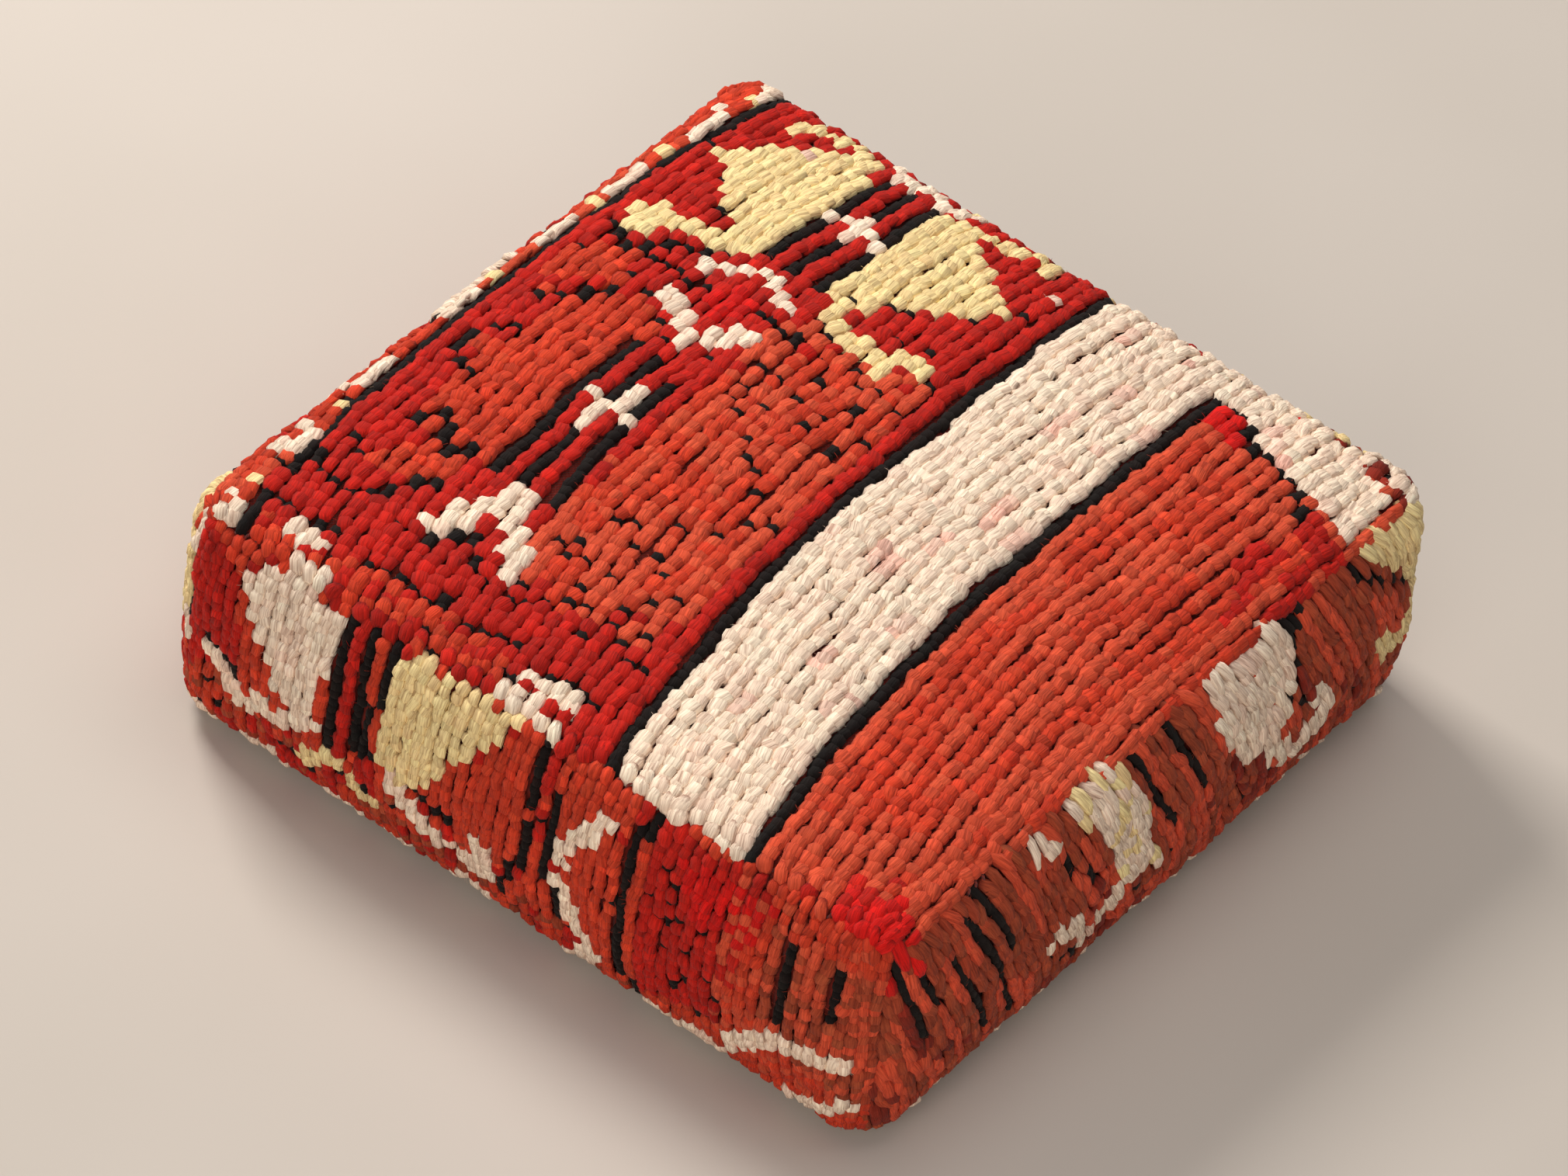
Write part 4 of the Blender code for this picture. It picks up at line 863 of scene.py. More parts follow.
@dataclass(frozen=True)
class CoverForm:
    """Shape of the stuffed cover, at the back of its pile."""

    half: float = 0.300
    corner: float = 0.034
    top_seam: float = 0.195
    crown: float = 0.015
    base_seam: float = 0.012
    side_bulge: float = 0.013
    corner_share: float = 0.35
    pile: float = 0.0080
    seam_sink: float = 0.0045
    seam_run: float = 0.016
    ground: float = 0.0030
    unevenness: float = 0.0016
    base_inset: float = 0.0105
    base_run: float = 0.0265
    slot: float = 0.007
    slot_end: float = 0.228
    slot_taper: float = 0.010
    zip_lift: float = 0.006
    zip_run: float = 0.025
    cotton: float = 0.0025

    def outline(self, x: Array, y: Array, inset: float = 0.0) -> Array:
        """Plan points of a square's points drawn into a rounded square.

        Past the corner's centre by (p, q) of its radius r, a point moves to
        (p sqrt(1 - q²/2r²), q sqrt(1 - p²/2r²)), which lays the square's edge on the arc.
        """
        reach = self.half - self.corner
        radius = self.corner - inset
        core_x, core_y = np.clip(x, -reach, reach), np.clip(y, -reach, reach)
        p, q = (x - core_x) / self.corner, (y - core_y) / self.corner
        out_x = core_x + radius * p * np.sqrt(1 - q * q / 2)
        out_y = core_y + radius * q * np.sqrt(1 - p * p / 2)
        return np.stack([out_x, out_y], -1)

    def outwards(self, x: Array, y: Array) -> Array:
        """Unit plan directions outwards at points of the square's edge."""
        reach = self.half - self.corner
        core = np.stack([np.clip(x, -reach, reach), np.clip(y, -reach, reach)], -1)
        return unit(self.outline(x, y) - core)

    def sunk(self, away: Array) -> Array:
        """How far the seam draws the cloth in, at a distance from it."""
        return self.seam_sink * (1 - np.clip(away / self.seam_run, 0, 1)) ** 2

    def top(self, a: Array, b: Array) -> Array:
        """Points of the top's ground over shares -1..1 across and along it.

        Height is the seam's, plus the crown times (1-|a|^2.6)(1-|b|^2.6), less the pile and the
        pull of the seam.
        """
        inset = self.pile + self.seam_sink
        plan = self.outline(a * self.half, b * self.half, inset)
        away = np.minimum(1 - np.abs(a), 1 - np.abs(b)) * self.half
        rise = self.crown * (1 - np.abs(a) ** 2.6) * (1 - np.abs(b) ** 2.6)
        soft = self.unevenness * ripple(plan[..., 0], plan[..., 1], 3) * smooth(away / 0.05)
        height = self.top_seam + rise + soft - self.pile - self.sunk(away)
        return np.concatenate([plan, height[..., None]], -1)

    def wall(self, side: int, a: Array, b: Array) -> Array:
        """Points of one side's ground: side 0 front, 1 right, 2 back, 3 left.

        Args:
            side: which wall.
            a: shares -1..1 along it, counterclockwise from above.
            b: shares -1..1 up it.

        Returns:
            Points: the outline moved out by the swelling, and in by the pile and the seams' pull.
        """
        along = a * self.half
        edge = np.full_like(along, self.half)
        x, y = ((along, -edge), (edge, along), (-along, edge), (-edge, -along))[side]
        low = self.base_seam + 0.003
        high = self.top_seam - self.pile - self.seam_sink
        height = low + (high - low) * (b + 1) / 2
        plan = self.outline(x, y)
        normal = self.outwards(x, y)
        swell = np.clip(1 - b**2, 0, 1)
        share = self.corner_share + (1 - self.corner_share) * (1 - np.abs(a) ** 4)
        away = (1 - np.abs(b)) * (high - low) / 2
        corner_away = (1 - np.abs(a)) * self.half
        soft = self.unevenness * 1.3 * ripple(along + side * 1.7, height, 11 + side) * smooth(away / 0.03)
        out = self.side_bulge * swell * share - self.pile - self.sunk(away) - self.sunk(corner_away) * 0.6
        out = out + soft * smooth(corner_away / 0.03)
        plan = plan + normal * out[..., None]
        return np.concatenate([plan, height[..., None]], -1)

    def edge_rise(self, depth: Array) -> Array:
        """Height of the base's underside where it curls up to its seam: the seam's times (1 - share)^2."""
        return self.base_seam * (1 - np.clip((depth - self.base_inset) / self.base_run, 0, 1)) ** 2

    def zip_rise(self, y: Array) -> Array:
        """Height to which the zip draws the base up: its rise times (1 - share)^2."""
        return self.zip_lift * (1 - np.clip((np.abs(y) - self.slot) / self.zip_run, 0, 1)) ** 2

    def underside(self, x: Array, y: Array) -> Array:
        """Height of the base's outer face at plan points, with faint puckers near the seam and the zip."""
        reach = self.half - self.corner
        past_x, past_y = np.abs(x) - reach, np.abs(y) - reach
        outside = np.hypot(np.maximum(past_x, 0), np.maximum(past_y, 0))
        depth = self.corner - outside - np.minimum(np.maximum(past_x, past_y), 0)
        lift = np.maximum(self.edge_rise(depth), self.zip_rise(y))
        near = smooth(1 - depth / 0.09) + smooth(1 - np.abs(y) / 0.06) * 0.8
        across = np.where(depth < 0.09, np.where(past_x > past_y, y, x), x)
        pucker = 0.0009 * (0.5 + 0.5 * np.sin(across * 260 + 2.2 * ripple(x, y, 77, length=0.2))) * near
        rest = 0.0007 * (0.5 + 0.5 * ripple(x, y, 78, length=0.16))
        return lift + np.clip(pucker + rest, 0, 0.002)

    def rim(self, each: int) -> tuple[Array, Array, Array]:
        """Shares and plan points all the way round, counterclockwise from the front left corner.

        Args:
            each: points along one side.

        Returns:
            X and Y of the square's edge, and the outward directions there.
        """
        along = np.linspace(-self.half, self.half, each, endpoint=False)
        edge = np.full(each, self.half)
        x = np.concatenate([along, edge, -along, -edge])
        y = np.concatenate([-edge, along, edge, -along])
        return x, y, self.outwards(x, y)


class Surface:
    """A panel's ground as a fine grid, read at any share across and up it."""

    def __init__(self, points: Array) -> None:
        """Takes the grid, across by up by 3, and works out which way it faces."""
        self.points = points
        self.across = unit(np.gradient(points, axis=0))
        self.up = unit(np.gradient(points, axis=1))
        self.normal = unit(np.cross(self.across, self.up))

    def read(self, values: Array, u: Array, v: Array) -> Array:
        """Values of the grid between its points, at shares 0..1: the mean of the four round each place."""
        rows, columns = values.shape[:2]
        x, y = np.clip(u, 0, 1) * (rows - 1), np.clip(v, 0, 1) * (columns - 1)
        i, j = np.minimum(x.astype(int), rows - 2), np.minimum(y.astype(int), columns - 2)
        p, q = (x - i)[:, None], (y - j)[:, None]
        low = values[i, j] * (1 - p) + values[i + 1, j] * p
        high = values[i, j + 1] * (1 - p) + values[i + 1, j + 1] * p
        return low * (1 - q) + high * q


@dataclass
class RugPanel:
    """One panel of the rug: its knotted ground and the pile on it."""

    name: str
    surface: Surface
    rug: Rug
    nap: float = 0.0165
    thickness: float = 0.0039
    width: float = 0.0068
    tilt_edges: tuple[float, float, float, float] = (0.0, 0.0, 0.0, 0.0)
    seed: int = 1
    overhang: float = 1.0
    sides: int = 6
    hairs: int = 1800

    def tufts(self, form: CoverForm) -> Shape:
        """Every knot's tuft: an ellipse carried along a path that arches out of the ground and back.

        At share s of a tuft its path is along the nap by its length times s - 0.5, up by its
        height times sin(pi (0.12 + 0.76 s)), and aside by its curl times s squared. The
        ellipse's half width and thickness follow sin(pi (0.04 + 0.92 s))^0.45.
        """
        rug, surface = self.rug, self.surface
        chance = np.random.default_rng(self.seed)
        many = rug.u.size
        root = surface.read(surface.points, rug.share_u, rug.share_v)
        across = unit(surface.read(surface.across, rug.share_u, rug.share_v))
        up = unit(surface.read(surface.up, rug.share_u, rug.share_v))
        normal = unit(surface.read(surface.normal, rug.share_u, rug.share_v))
        left, right, foot, head = self.tilt_edges
        reach_u, reach_v = rug.size
        lean = -left * smooth(1 - rug.u / 2.2) + right * smooth(1 - (reach_u - rug.u) / 2.2)
        rise = -foot * smooth(1 - rug.v / 2.2) + head * smooth(1 - (reach_v - rug.v) / 2.2)
        normal = unit(normal + across * lean[:, None] + up * rise[:, None])
        height = np.array([yarn.height for yarn in YARNS])[rug.yarn]
        turn = chance.normal(0, 0.11, many) + np.arctan(rug.slope)
        nap = -up * np.cos(turn)[:, None] + across * np.sin(turn)[:, None]
        nap = unit(nap - normal * (nap * normal).sum(1, keepdims=True))
        aside = np.cross(normal, nap)
        s = np.array([0.0, 0.08, 0.36, 0.66, 0.92, 1.0])
        matting = 1 + 0.10 * ripple(rug.u, rug.v, self.seed + 50, length=9.0)
        length = self.nap * chance.uniform(0.84, 1.16, many) * (0.55 + 0.45 * height)
        length = np.minimum(length, 2 * (0.0093 * rug.v + self.overhang))
        tall = form.pile * chance.uniform(0.62, 0.80, many) * height * matting
        curl = chance.normal(0, 0.10, many) * length
        along = (length[:, None] * (s - 0.5))[..., None] * nap[:, None]
        lift = (tall[:, None] * np.sin(np.pi * (0.12 + 0.76 * s)))[..., None] * normal[:, None]
        sway = (curl[:, None] * s**2)[..., None] * aside[:, None]
        path = root[:, None] + along + lift + sway
        run = unit(np.gradient(path, axis=1))
        roll = 0.22 * chance.normal(0, 1, (many, 1, 1)) * normal[:, None]
        wide_way = unit(np.cross(normal[:, None], run) + roll)
        over_way = unit(np.cross(run, wide_way))
        round_off = np.sin(np.pi * (0.04 + 0.92 * s)) ** 0.45
        wide = self.width * chance.uniform(0.86, 1.12, many) * (0.4 + 0.6 * height)
        wide = wide[:, None] * round_off
        thick = self.thickness * chance.uniform(0.8, 1.2, many)[:, None] * round_off
        made = strands(path, wide_way, over_way, wide, thick, self.sides)
        each = len(made.points) // many
        made.points[:, 2] = np.maximum(made.points[:, 2], 0.0008)
        made.values["strand"] += np.repeat(chance.uniform(-1, 1, (many, 3)), each, 0)
        # The dye's alpha is a share of painted light: 0 at the root and low on the underside of each tuft,
        # which the pile material paints as shade, up to 1 on its upper side, which it paints lighter; 0.45 at
        # the tip.
        turns = np.sin(np.linspace(0, 2 * np.pi, self.sides, endpoint=False))
        lit_ring_shares = smooth(0.55 + 0.6 * turns)[None] * smooth(s[1:-1] / 0.3)[:, None]
        lit_share = np.concatenate([[0.0], lit_ring_shares.ravel(), [0.45]])
        colour = np.repeat(self.dyed(chance), each, 0)
        made.values["dye"] = np.concatenate([colour, np.tile(lit_share, many)[:, None]], 1)
        return made

    def fuzz(self, form: CoverForm) -> Shape:
        """Single fibres that stand out of the pile, each a thin arc that starts among the tufts.

        At share s a hair is s times its length along its own way, less 0.3 s squared of it along the normal.
        """
        rug, surface = self.rug, self.surface
        chance = np.random.default_rng(self.seed + 300)
        pick = chance.integers(0, rug.u.size, self.hairs)
        place = rug.share_u[pick], np.clip(rug.share_v[pick], 0.03, 1)
        normal = unit(surface.read(surface.normal, *place))
        aside = chance.normal(0, 1, normal.shape)
        flat = unit(aside - normal * (aside * normal).sum(1, keepdims=True))
        way = unit(flat + normal * chance.uniform(0.1, 0.9, (self.hairs, 1)))
        root = surface.read(surface.points, *place) + normal * form.pile * 0.62 + flat * 0.004
        s = np.array([0.0, 0.35, 0.7, 1.0])[None, :, None]
        length = chance.uniform(0.003, 0.0085, (self.hairs, 1, 1))
        path = root[:, None] + length * (s * way[:, None] - 0.3 * s**2 * normal[:, None])
        run = unit(np.gradient(path, axis=1))
        across = unit(np.cross(normal[:, None], run))
        thick = chance.uniform(0.00010, 0.00017, (self.hairs, 1)) * np.array([1.0, 1.0, 0.8, 0.4])
        made = strands(path, across, np.cross(run, across), thick, thick, 3)
        each = len(made.points) // self.hairs
        made.points[:, 2] = np.maximum(made.points[:, 2], 0.0008)
        colour = np.repeat(self.dyed(chance)[pick], each, 0)
        # Alpha one: each hair takes the pile material's painted light and none of its painted shade.
        made.values["dye"] = np.concatenate([colour, np.ones((len(colour), 1))], 1)
        return made

    def dyed(self, chance: np.random.Generator) -> Array:
        """Each tuft's colour: its yarn's, lighter or darker and warmer or cooler by the dye's unevenness."""
        base = np.array([linear(yarn.colour) for yarn in YARNS])[self.rug.yarn]
        uneven = np.array([yarn.uneven for yarn in YARNS])[self.rug.yarn]
        stain = np.clip(0.45 * ripple(self.rug.u, self.rug.v, self.seed + 70, length=4.0) - 0.1, 0, 0.6)
        stain = (stain + 0.12 * chance.random(stain.size)) * (self.rug.yarn == YARNS.index(Yarn.IVORY))
        base = base + (np.array(linear(Yarn.PINK.colour)) - base) * stain[:, None]
        light = np.exp(chance.normal(0, 1, uneven.size) * uneven)
        warm = chance.normal(0, 1, uneven.size) * uneven * 0.5
        tint = np.stack([light * (1 + 0.3 * warm), light * (1 - warm), light * (1 - warm)], 1)
        return np.clip(base * tint, 0.002, 1)

    def build(self, form: CoverForm, pile: bpy.types.Material, ground: bpy.types.Material) -> None:
        """Builds the ground and the pile, and puts them in the panel's place."""
        surface = self.surface
        back = surface.points - surface.normal * form.ground
        body = slab(surface.points, back).piece(f"{self.name}_ground", ground)
        tufts = self.tufts(form).piece(f"{self.name}_pile", pile)
        fuzz = self.fuzz(form).piece(f"{self.name}_fuzz", pile)
        for piece in (body, tufts, fuzz):
            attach(piece, "cushion")
            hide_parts(self.name)
            LOG.info("%s: %d faces", piece.name, len(piece.data.polygons))


@dataclass
class Stuffing:
    """How the filling swells the cover, by a cloth simulation of its panels sewn into one body.

    The body starts a little flatter than the cover and with cloth to spare. Its seams and base are
    held, pressure blows it up, and what each point moved, past the cover's plain form, is kept
    within a limit.
    """

    form: CoverForm
    cells: int = 100
    levels: int = 32
    start: float = 0.6
    spare_cloth: float = 0.016
    pressure: float = 4.0
    frames: int = 20
    outwards: float = 0.0045
    inwards: float = 0.0015
    crease: float = 0.0022
    aside: float = 0.0030

    def panels(self) -> list[tuple[Array, Array, Array]]:
        """For the top, the four walls and the base: the body's places, its points and its starting points.

        A place is three whole numbers on a box of cells by cells by levels, shared where panels meet.
        """
        form = self.form
        flatter = replace(form, crown=form.crown * self.start, side_bulge=form.side_bulge * self.start)
        n, m = self.cells, self.levels
        i, j = np.meshgrid(np.arange(n + 1), np.arange(n + 1), indexing="ij")
        a, b = i * 2 / n - 1, j * 2 / n - 1
        found = [(np.stack([i, j, np.full_like(i, m)], -1), form.top(a, b), flatter.top(a, b))]
        i, k = np.meshgrid(np.arange(n + 1), np.arange(m + 1), indexing="ij")
        a, b = i * 2 / n - 1, k * 2 / m - 1
        low, high = np.zeros_like(i), np.full_like(i, n)
        for side, (x, y) in enumerate(((i, low), (high, i), (n - i, high), (low, n - i))):
            found.append((np.stack([x, y, k], -1), form.wall(side, a, b), flatter.wall(side, a, b)))
        i, j = np.meshgrid(np.arange(n + 1), np.arange(n, -1, -1), indexing="ij")
        base = form.top(i * 2 / n - 1, j * 2 / n - 1)
        base[..., 2] = form.base_seam + 0.003
        return [*found, (np.stack([i, j, np.zeros_like(i)], -1), base, base)]

    def settle(self) -> list[Array]:
        """Runs the simulation.

        Returns:
            What the points of the top and the four walls moved by, as grids of vectors.
        """
        panels = self.panels()
        places = np.concatenate([place.reshape(-1, 3) for place, _, _ in panels])
        _, first, shared = np.unique(places, axis=0, return_index=True, return_inverse=True)
        shared = shared.ravel()
        held = np.zeros(len(first), bool)
        faces, count = [], 0
        for each, (place, _, _) in enumerate(panels):
            index = shared[count : count + place[..., 0].size].reshape(place.shape[:2])
            count += index.size
            held[np.concatenate([index[0], index[-1], index[:, 0], index[:, -1]])] = True
            if each == len(panels) - 1:
                held[index] = True
            corners = (index[:-1, :-1], index[1:, :-1], index[1:, 1:], index[:-1, 1:])
            faces.append(np.stack([corner.ravel() for corner in corners], 1))
        plain = np.concatenate([points.reshape(-1, 3) for _, points, _ in panels])[first]
        points = np.concatenate([points.reshape(-1, 3) for _, _, points in panels])[first]
        points[held] = plain[held]
        swollen = self.simulated(points, np.concatenate(faces), held)
        moved = np.where(held[:, None], 0.0, swollen - plain)
        grids, count = [], 0
        for place, grid, _ in panels[:-1]:
            size = place[..., 0].size
            found = moved[shared[count : count + size]].reshape(grid.shape)
            grids.append(self.limited(found, Surface(grid).normal))
            count += size
        return grids

    def simulated(self, points: Array, faces: Array, held: Array) -> Array:
        """Blows a body up with its held points pinned, and returns where its points end."""
        mesh = bpy.data.meshes.new("stuffing")
        mesh.from_pydata(points.tolist(), [], faces.tolist())
        body = bpy.data.objects.new("stuffing", mesh)
        scene = bpy.context.scene
        scene.collection.objects.link(body)
        body.vertex_groups.new(name="sewn").add(np.flatnonzero(held).tolist(), 1.0, "REPLACE")
        cloth = body.modifiers.new("cloth", "CLOTH")
        settings = cloth.settings
        settings.vertex_group_mass = "sewn"
        settings.quality = 5
        settings.mass = 0.25
        settings.use_pressure = True
        settings.uniform_pressure_force = self.pressure
        settings.shrink_min = -self.spare_cloth
        settings.tension_stiffness = settings.compression_stiffness = 40
        settings.shear_stiffness = 8
        settings.bending_stiffness = 1.5
        settings.air_damping = 3
        settings.effector_weights.gravity = 0
        cloth.point_cache.frame_start, cloth.point_cache.frame_end = 1, self.frames
        for frame in range(1, self.frames + 1):
            scene.frame_set(frame)
        swollen = body.evaluated_get(bpy.context.evaluated_depsgraph_get()).data
        settled = np.empty(len(points) * 3)
        swollen.vertices.foreach_get("co", settled)
        bpy.data.objects.remove(body)
        bpy.data.meshes.remove(mesh)
        scene.frame_set(1)
        return settled.reshape(-1, 3)

    def limited(self, moved: Array, normal: Array) -> Array:
        """Moves kept within limits: the broad swelling and the creases on it, each limit tanh(d / limit)."""
        out = (moved * normal).sum(-1)
        broad = out.copy()
        for _ in range(60):
            broad[1:-1] = (broad[:-2] + 2 * broad[1:-1] + broad[2:]) / 4
            broad[:, 1:-1] = (broad[:, :-2] + 2 * broad[:, 1:-1] + broad[:, 2:]) / 4
        limit = np.where(broad > 0, self.outwards, self.inwards)
        kept = limit * np.tanh(broad / limit) + self.crease * np.tanh((out - broad) / self.crease)
        flat = moved - out[..., None] * normal
        far = np.linalg.norm(flat, axis=-1, keepdims=True) + 1e-9
        LOG.info("swelling up to %.1f mm, kept %.1f mm", out.max() * 1000, kept.max() * 1000)
        return kept[..., None] * normal + flat * self.aside * np.tanh(far / self.aside) / far


@dataclass
class RugCover:
    """The five rug panels over one stuffed form."""

    form: CoverForm
    pitch: Spot = (1.16, 0.78)

    def build(self) -> None:
        """Builds the top and the four sides."""
        pile = PileFinish().material()
        ground = WeaveFinish("rug_ground", (132, 34, 20), 0.0032, 0.0007).material()
        stuffing = Stuffing(self.form)
        n, m = stuffing.cells, stuffing.levels
        moves = stuffing.settle()
        a, b = np.meshgrid(np.linspace(-1, 1, n + 1), np.linspace(-1, 1, n + 1), indexing="ij")
        rug = Rug((60, 60), self.pitch, top_bend, Yarn.CRIMSON, 5)
        draw_top(rug)
        surface = Surface(self.form.top(a, b) + moves[0])
        panel = RugPanel("top_panel", surface, rug, tilt_edges=(0.7, 0.7, 0.7, 0.7), seed=21, hairs=5600)
        panel.build(self.form, pile, ground)
        a, b = np.meshgrid(np.linspace(-1, 1, n + 1), np.linspace(-1, 1, m + 1), indexing="ij")
        walls = (
            ("side_panel_front", draw_front, Yarn.ORANGE, straight, 0.0145, 0.0054, 0.76),
            ("side_panel_right", draw_right, Yarn.BROWN, slanting(0.42), 0.0280, 0.0055, 0.92),
            ("side_panel_back", draw_back, Yarn.BROWN, slanting(0.08), 0.0170, 0.0060, 0.84),
            ("side_panel_left", draw_left, Yarn.ORANGE, slanting(-0.08), 0.0170, 0.0060, 0.84),
        )
        for side, (name, draw, field, bend, nap, width, rows) in enumerate(walls):
            rug = Rug((60, 19.5), (width * 168, rows), bend, field, 40 + side)
            draw(rug)
            surface = Surface(self.form.wall(side, a, b) + moves[side + 1])
            edges = (0.0, 0.0, 0.1, 0.25)
            panel = RugPanel(name, surface, rug, nap, 0.0034, width, edges, 60 + side, 0.0035)
            panel.build(self.form, pile, ground)


@dataclass
class SewnSeams:
    """Overcast stitches of dyed wool yarn that join the panels, and fine rows on the base."""

    form: CoverForm
    pitch: float = 0.0075
    radius: float = 0.0011

    def place(self, shape: Shape, name: str, finish: bpy.types.Material, slot: str) -> None:
        """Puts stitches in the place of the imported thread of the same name."""
        made = shape.piece(f"{name}_stitches", finish)
        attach(made, "cushion")
        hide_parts(name)
        LOG.info("%s: %d faces", made.name, len(made.data.polygons))

    def overcast(self, first: Array, middle: Array, last: Array, seed: int) -> Shape:
        """Stitches over a seam: each runs from first over middle to last, and dips in at both ends.

        The path is the curve (1-t)^2 first + 2t(1-t) (2 middle - the ends' mean) + t^2 last.
        """
        chance = np.random.default_rng(seed)
        t = np.linspace(-0.08, 1.08, 9)[None, :, None]
        peak = 2 * middle - (first + last) / 2
        path = (1 - t) ** 2 * first[:, None] + 2 * t * (1 - t) * peak[:, None] + t**2 * last[:, None]
        run = unit(np.gradient(path, axis=1))
        side = unit(np.cross(run, unit(middle - (first + last) / 2)[:, None]))
        over = np.cross(side, run)
        thick = self.radius * chance.uniform(0.85, 1.15, (len(first), 1)) * np.ones((1, 9))
        return strands(path, side, over, thick, thick * 0.85, 6)

    def level_seam(self, high: bool, finish: bpy.types.Material) -> None:
        """Stitches the top's seam or the base's, all the way round."""
        form = self.form
        count = round(2 * form.half / self.pitch)
        x, y, normal = form.rim(count)
        plan = form.outline(x, y)
        tangent = np.stack([-normal[:, 1], normal[:, 0]], 1)
        inset = form.pile + form.seam_sink
        sign, height = -1.0, form.base_seam + 0.001
        if high:
            sign, height = 1.0, form.top_seam - form.pile - form.seam_sink
        seam = np.concatenate([plan - normal * inset, np.full((len(plan), 1), height)], 1)
        out = np.concatenate([normal, np.zeros((len(plan), 1))], 1)
        aside = np.concatenate([tangent, np.zeros((len(plan), 1))], 1)
        up = np.array((0.0, 0.0, sign))
        first = seam + out * 0.0012 - up * 0.0062 - aside * 0.0022
        last = seam - out * 0.0062 + up * 0.0022 + aside * 0.0022
        middle = seam + (out + up) * 0.0024
        name = "top_seam_thread" if high else "base_seam_thread"
        self.place(self.overcast(first, middle, last, 5 + high), name, finish, "seam_thread")

    def corner_seam(self, name: str, corner: Spot, finish: bpy.types.Material) -> None:
        """Stitches one upright corner seam; corner holds the signs of its x and y."""
        form = self.form
        heights = np.arange(form.base_seam + 0.012, form.top_seam - 0.016, self.pitch)
        blank = np.zeros(len(heights))
        at = np.array(corner) * form.half
        normal = form.outwards(np.array([at[0]]), np.array([at[1]]))[0]
        tangent = np.array((-normal[1], normal[0]))
        swell = 1 - ((2 * heights - form.base_seam - form.top_seam) / (form.top_seam - form.base_seam)) ** 2
        out = form.side_bulge * form.corner_share * swell - form.pile - 0.6 * form.seam_sink
        plan = form.outline(at[:1], at[1:])[0] + normal * out[:, None]
        seam = np.stack([plan[:, 0], plan[:, 1], heights], 1)
        outwards = np.array((*normal, 0.0))
        aside = np.array((*tangent, 0.0))
        rise = np.stack([blank, blank, blank + 0.0018], 1)
        first = seam - aside * 0.006 - outwards * 0.0012 - rise
        last = seam + aside * 0.006 - outwards * 0.0012 + rise
        self.place(self.overcast(first, seam + outwards * 0.0018, last, 9), name, finish, "seam_thread")

    def running(self, starts: Array, y: float, length: float, radius: float) -> Shape:
        """Running stitches along x under the base: short bars whose ends dive into the cloth."""
        t = np.array([-0.55, -0.46, -0.25, 0.0, 0.25, 0.46, 0.55])
        dive = np.array([-1.6, -0.4, 0.75, 0.85, 0.75, -0.4, -1.6]) * radius
        x = starts[:, None] + t * length
        z = self.form.underside(x, np.full_like(x, y)) - dive
        path = np.stack([x, np.full_like(x, y), z], 2)
        run = unit(np.gradient(path, axis=1))
        side = unit(np.cross(run, np.array((0.0, 0.0, -1.0))))
        thick = np.full(t.size, radius) * np.ones((len(starts), 1))
        return strands(path, side, np.cross(side, run), thick, thick, 6)

    def build(self) -> None:
        """Builds every seam."""
        wool = TwistFinish("seam_wool", (128, 38, 24), 0.0022).material()
        cotton = TwistFinish("cotton_thread", (226, 214, 190), 0.0012).material()
        self.level_seam(True, wool)
        self.level_seam(False, wool)
        corners = {"front_left": (-1, -1), "front_right": (1, -1), "back_right": (1, 1), "back_left": (-1, 1)}
        for place, corner in corners.items():
            self.corner_seam(f"corner_seam_thread_{place}", corner, wool)
        for side, name in ((-1, "front"), (1, "back")):
            starts = np.arange(-0.2255, 0.2256, 0.0040)
            shape = self.running(starts, side * 0.013, 0.0031, 0.0005)
            self.place(shape, f"zip_stitching_{name}", cotton, "cotton_thread")
        for side, name in ((-1, "left"), (1, "right")):
            starts = side * np.arange(0.2410, 0.2830, 0.0044)
            shape = self.running(starts, 0.0, 0.0036, 0.0006)
            self.place(shape, f"closing_seam_thread_{name}", cotton, "cotton_thread")


@dataclass
class CottonBase:
    """The two halves of the canvas base, hemmed along the zip."""

    form: CoverForm

    def half(self, side: int) -> Shape:
        """One half: from the hem beside the slot out to the base seam; side is -1 front or 1 back.

        Columns run along x and rows from the slot outwards. The hem is a rounded fold, 11 mm wide.
        """
        form = self.form
        a, b = np.meshgrid(np.linspace(-1, 1, 181), np.linspace(0, 1, 72) ** 1.35, indexing="ij")
        x = a * form.half
        edge = np.interp(np.abs(x), (form.slot_end, form.slot_end + form.slot_taper), (form.slot, 0.0004))
        y = side * (edge + (form.half - edge) * b)
        plan = form.outline(x, y, form.base_inset)
        away = np.abs(y) - edge
        hem = 0.0006 * smooth((0.0125 - away) / 0.002)
        roll = 0.0011 * (1 - np.clip(away / 0.0012, 0, 1)) ** 2
        under = form.underside(plan[..., 0], plan[..., 1])
        lower = np.concatenate([plan, np.maximum(under - hem + roll, 0.0)[..., None]], 2)
        upper = np.concatenate([plan, (under + form.cotton - roll)[..., None]], 2)
        if side > 0:
            lower, upper = lower[:, ::-1], upper[:, ::-1]
        return slab(lower, upper)

    def build(self) -> None:
        """Builds both halves."""
        canvas = WeaveFinish("base_canvas", (214, 200, 172), 0.0013, 0.0003).material()
        for side, name in ((-1, "base_panel_front"), (1, "base_panel_back")):
            made = self.half(side).piece(f"{name}_canvas", canvas)
            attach(made, "cushion")
            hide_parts(name)
            LOG.info("%s: %d faces", made.name, len(made.data.polygons))


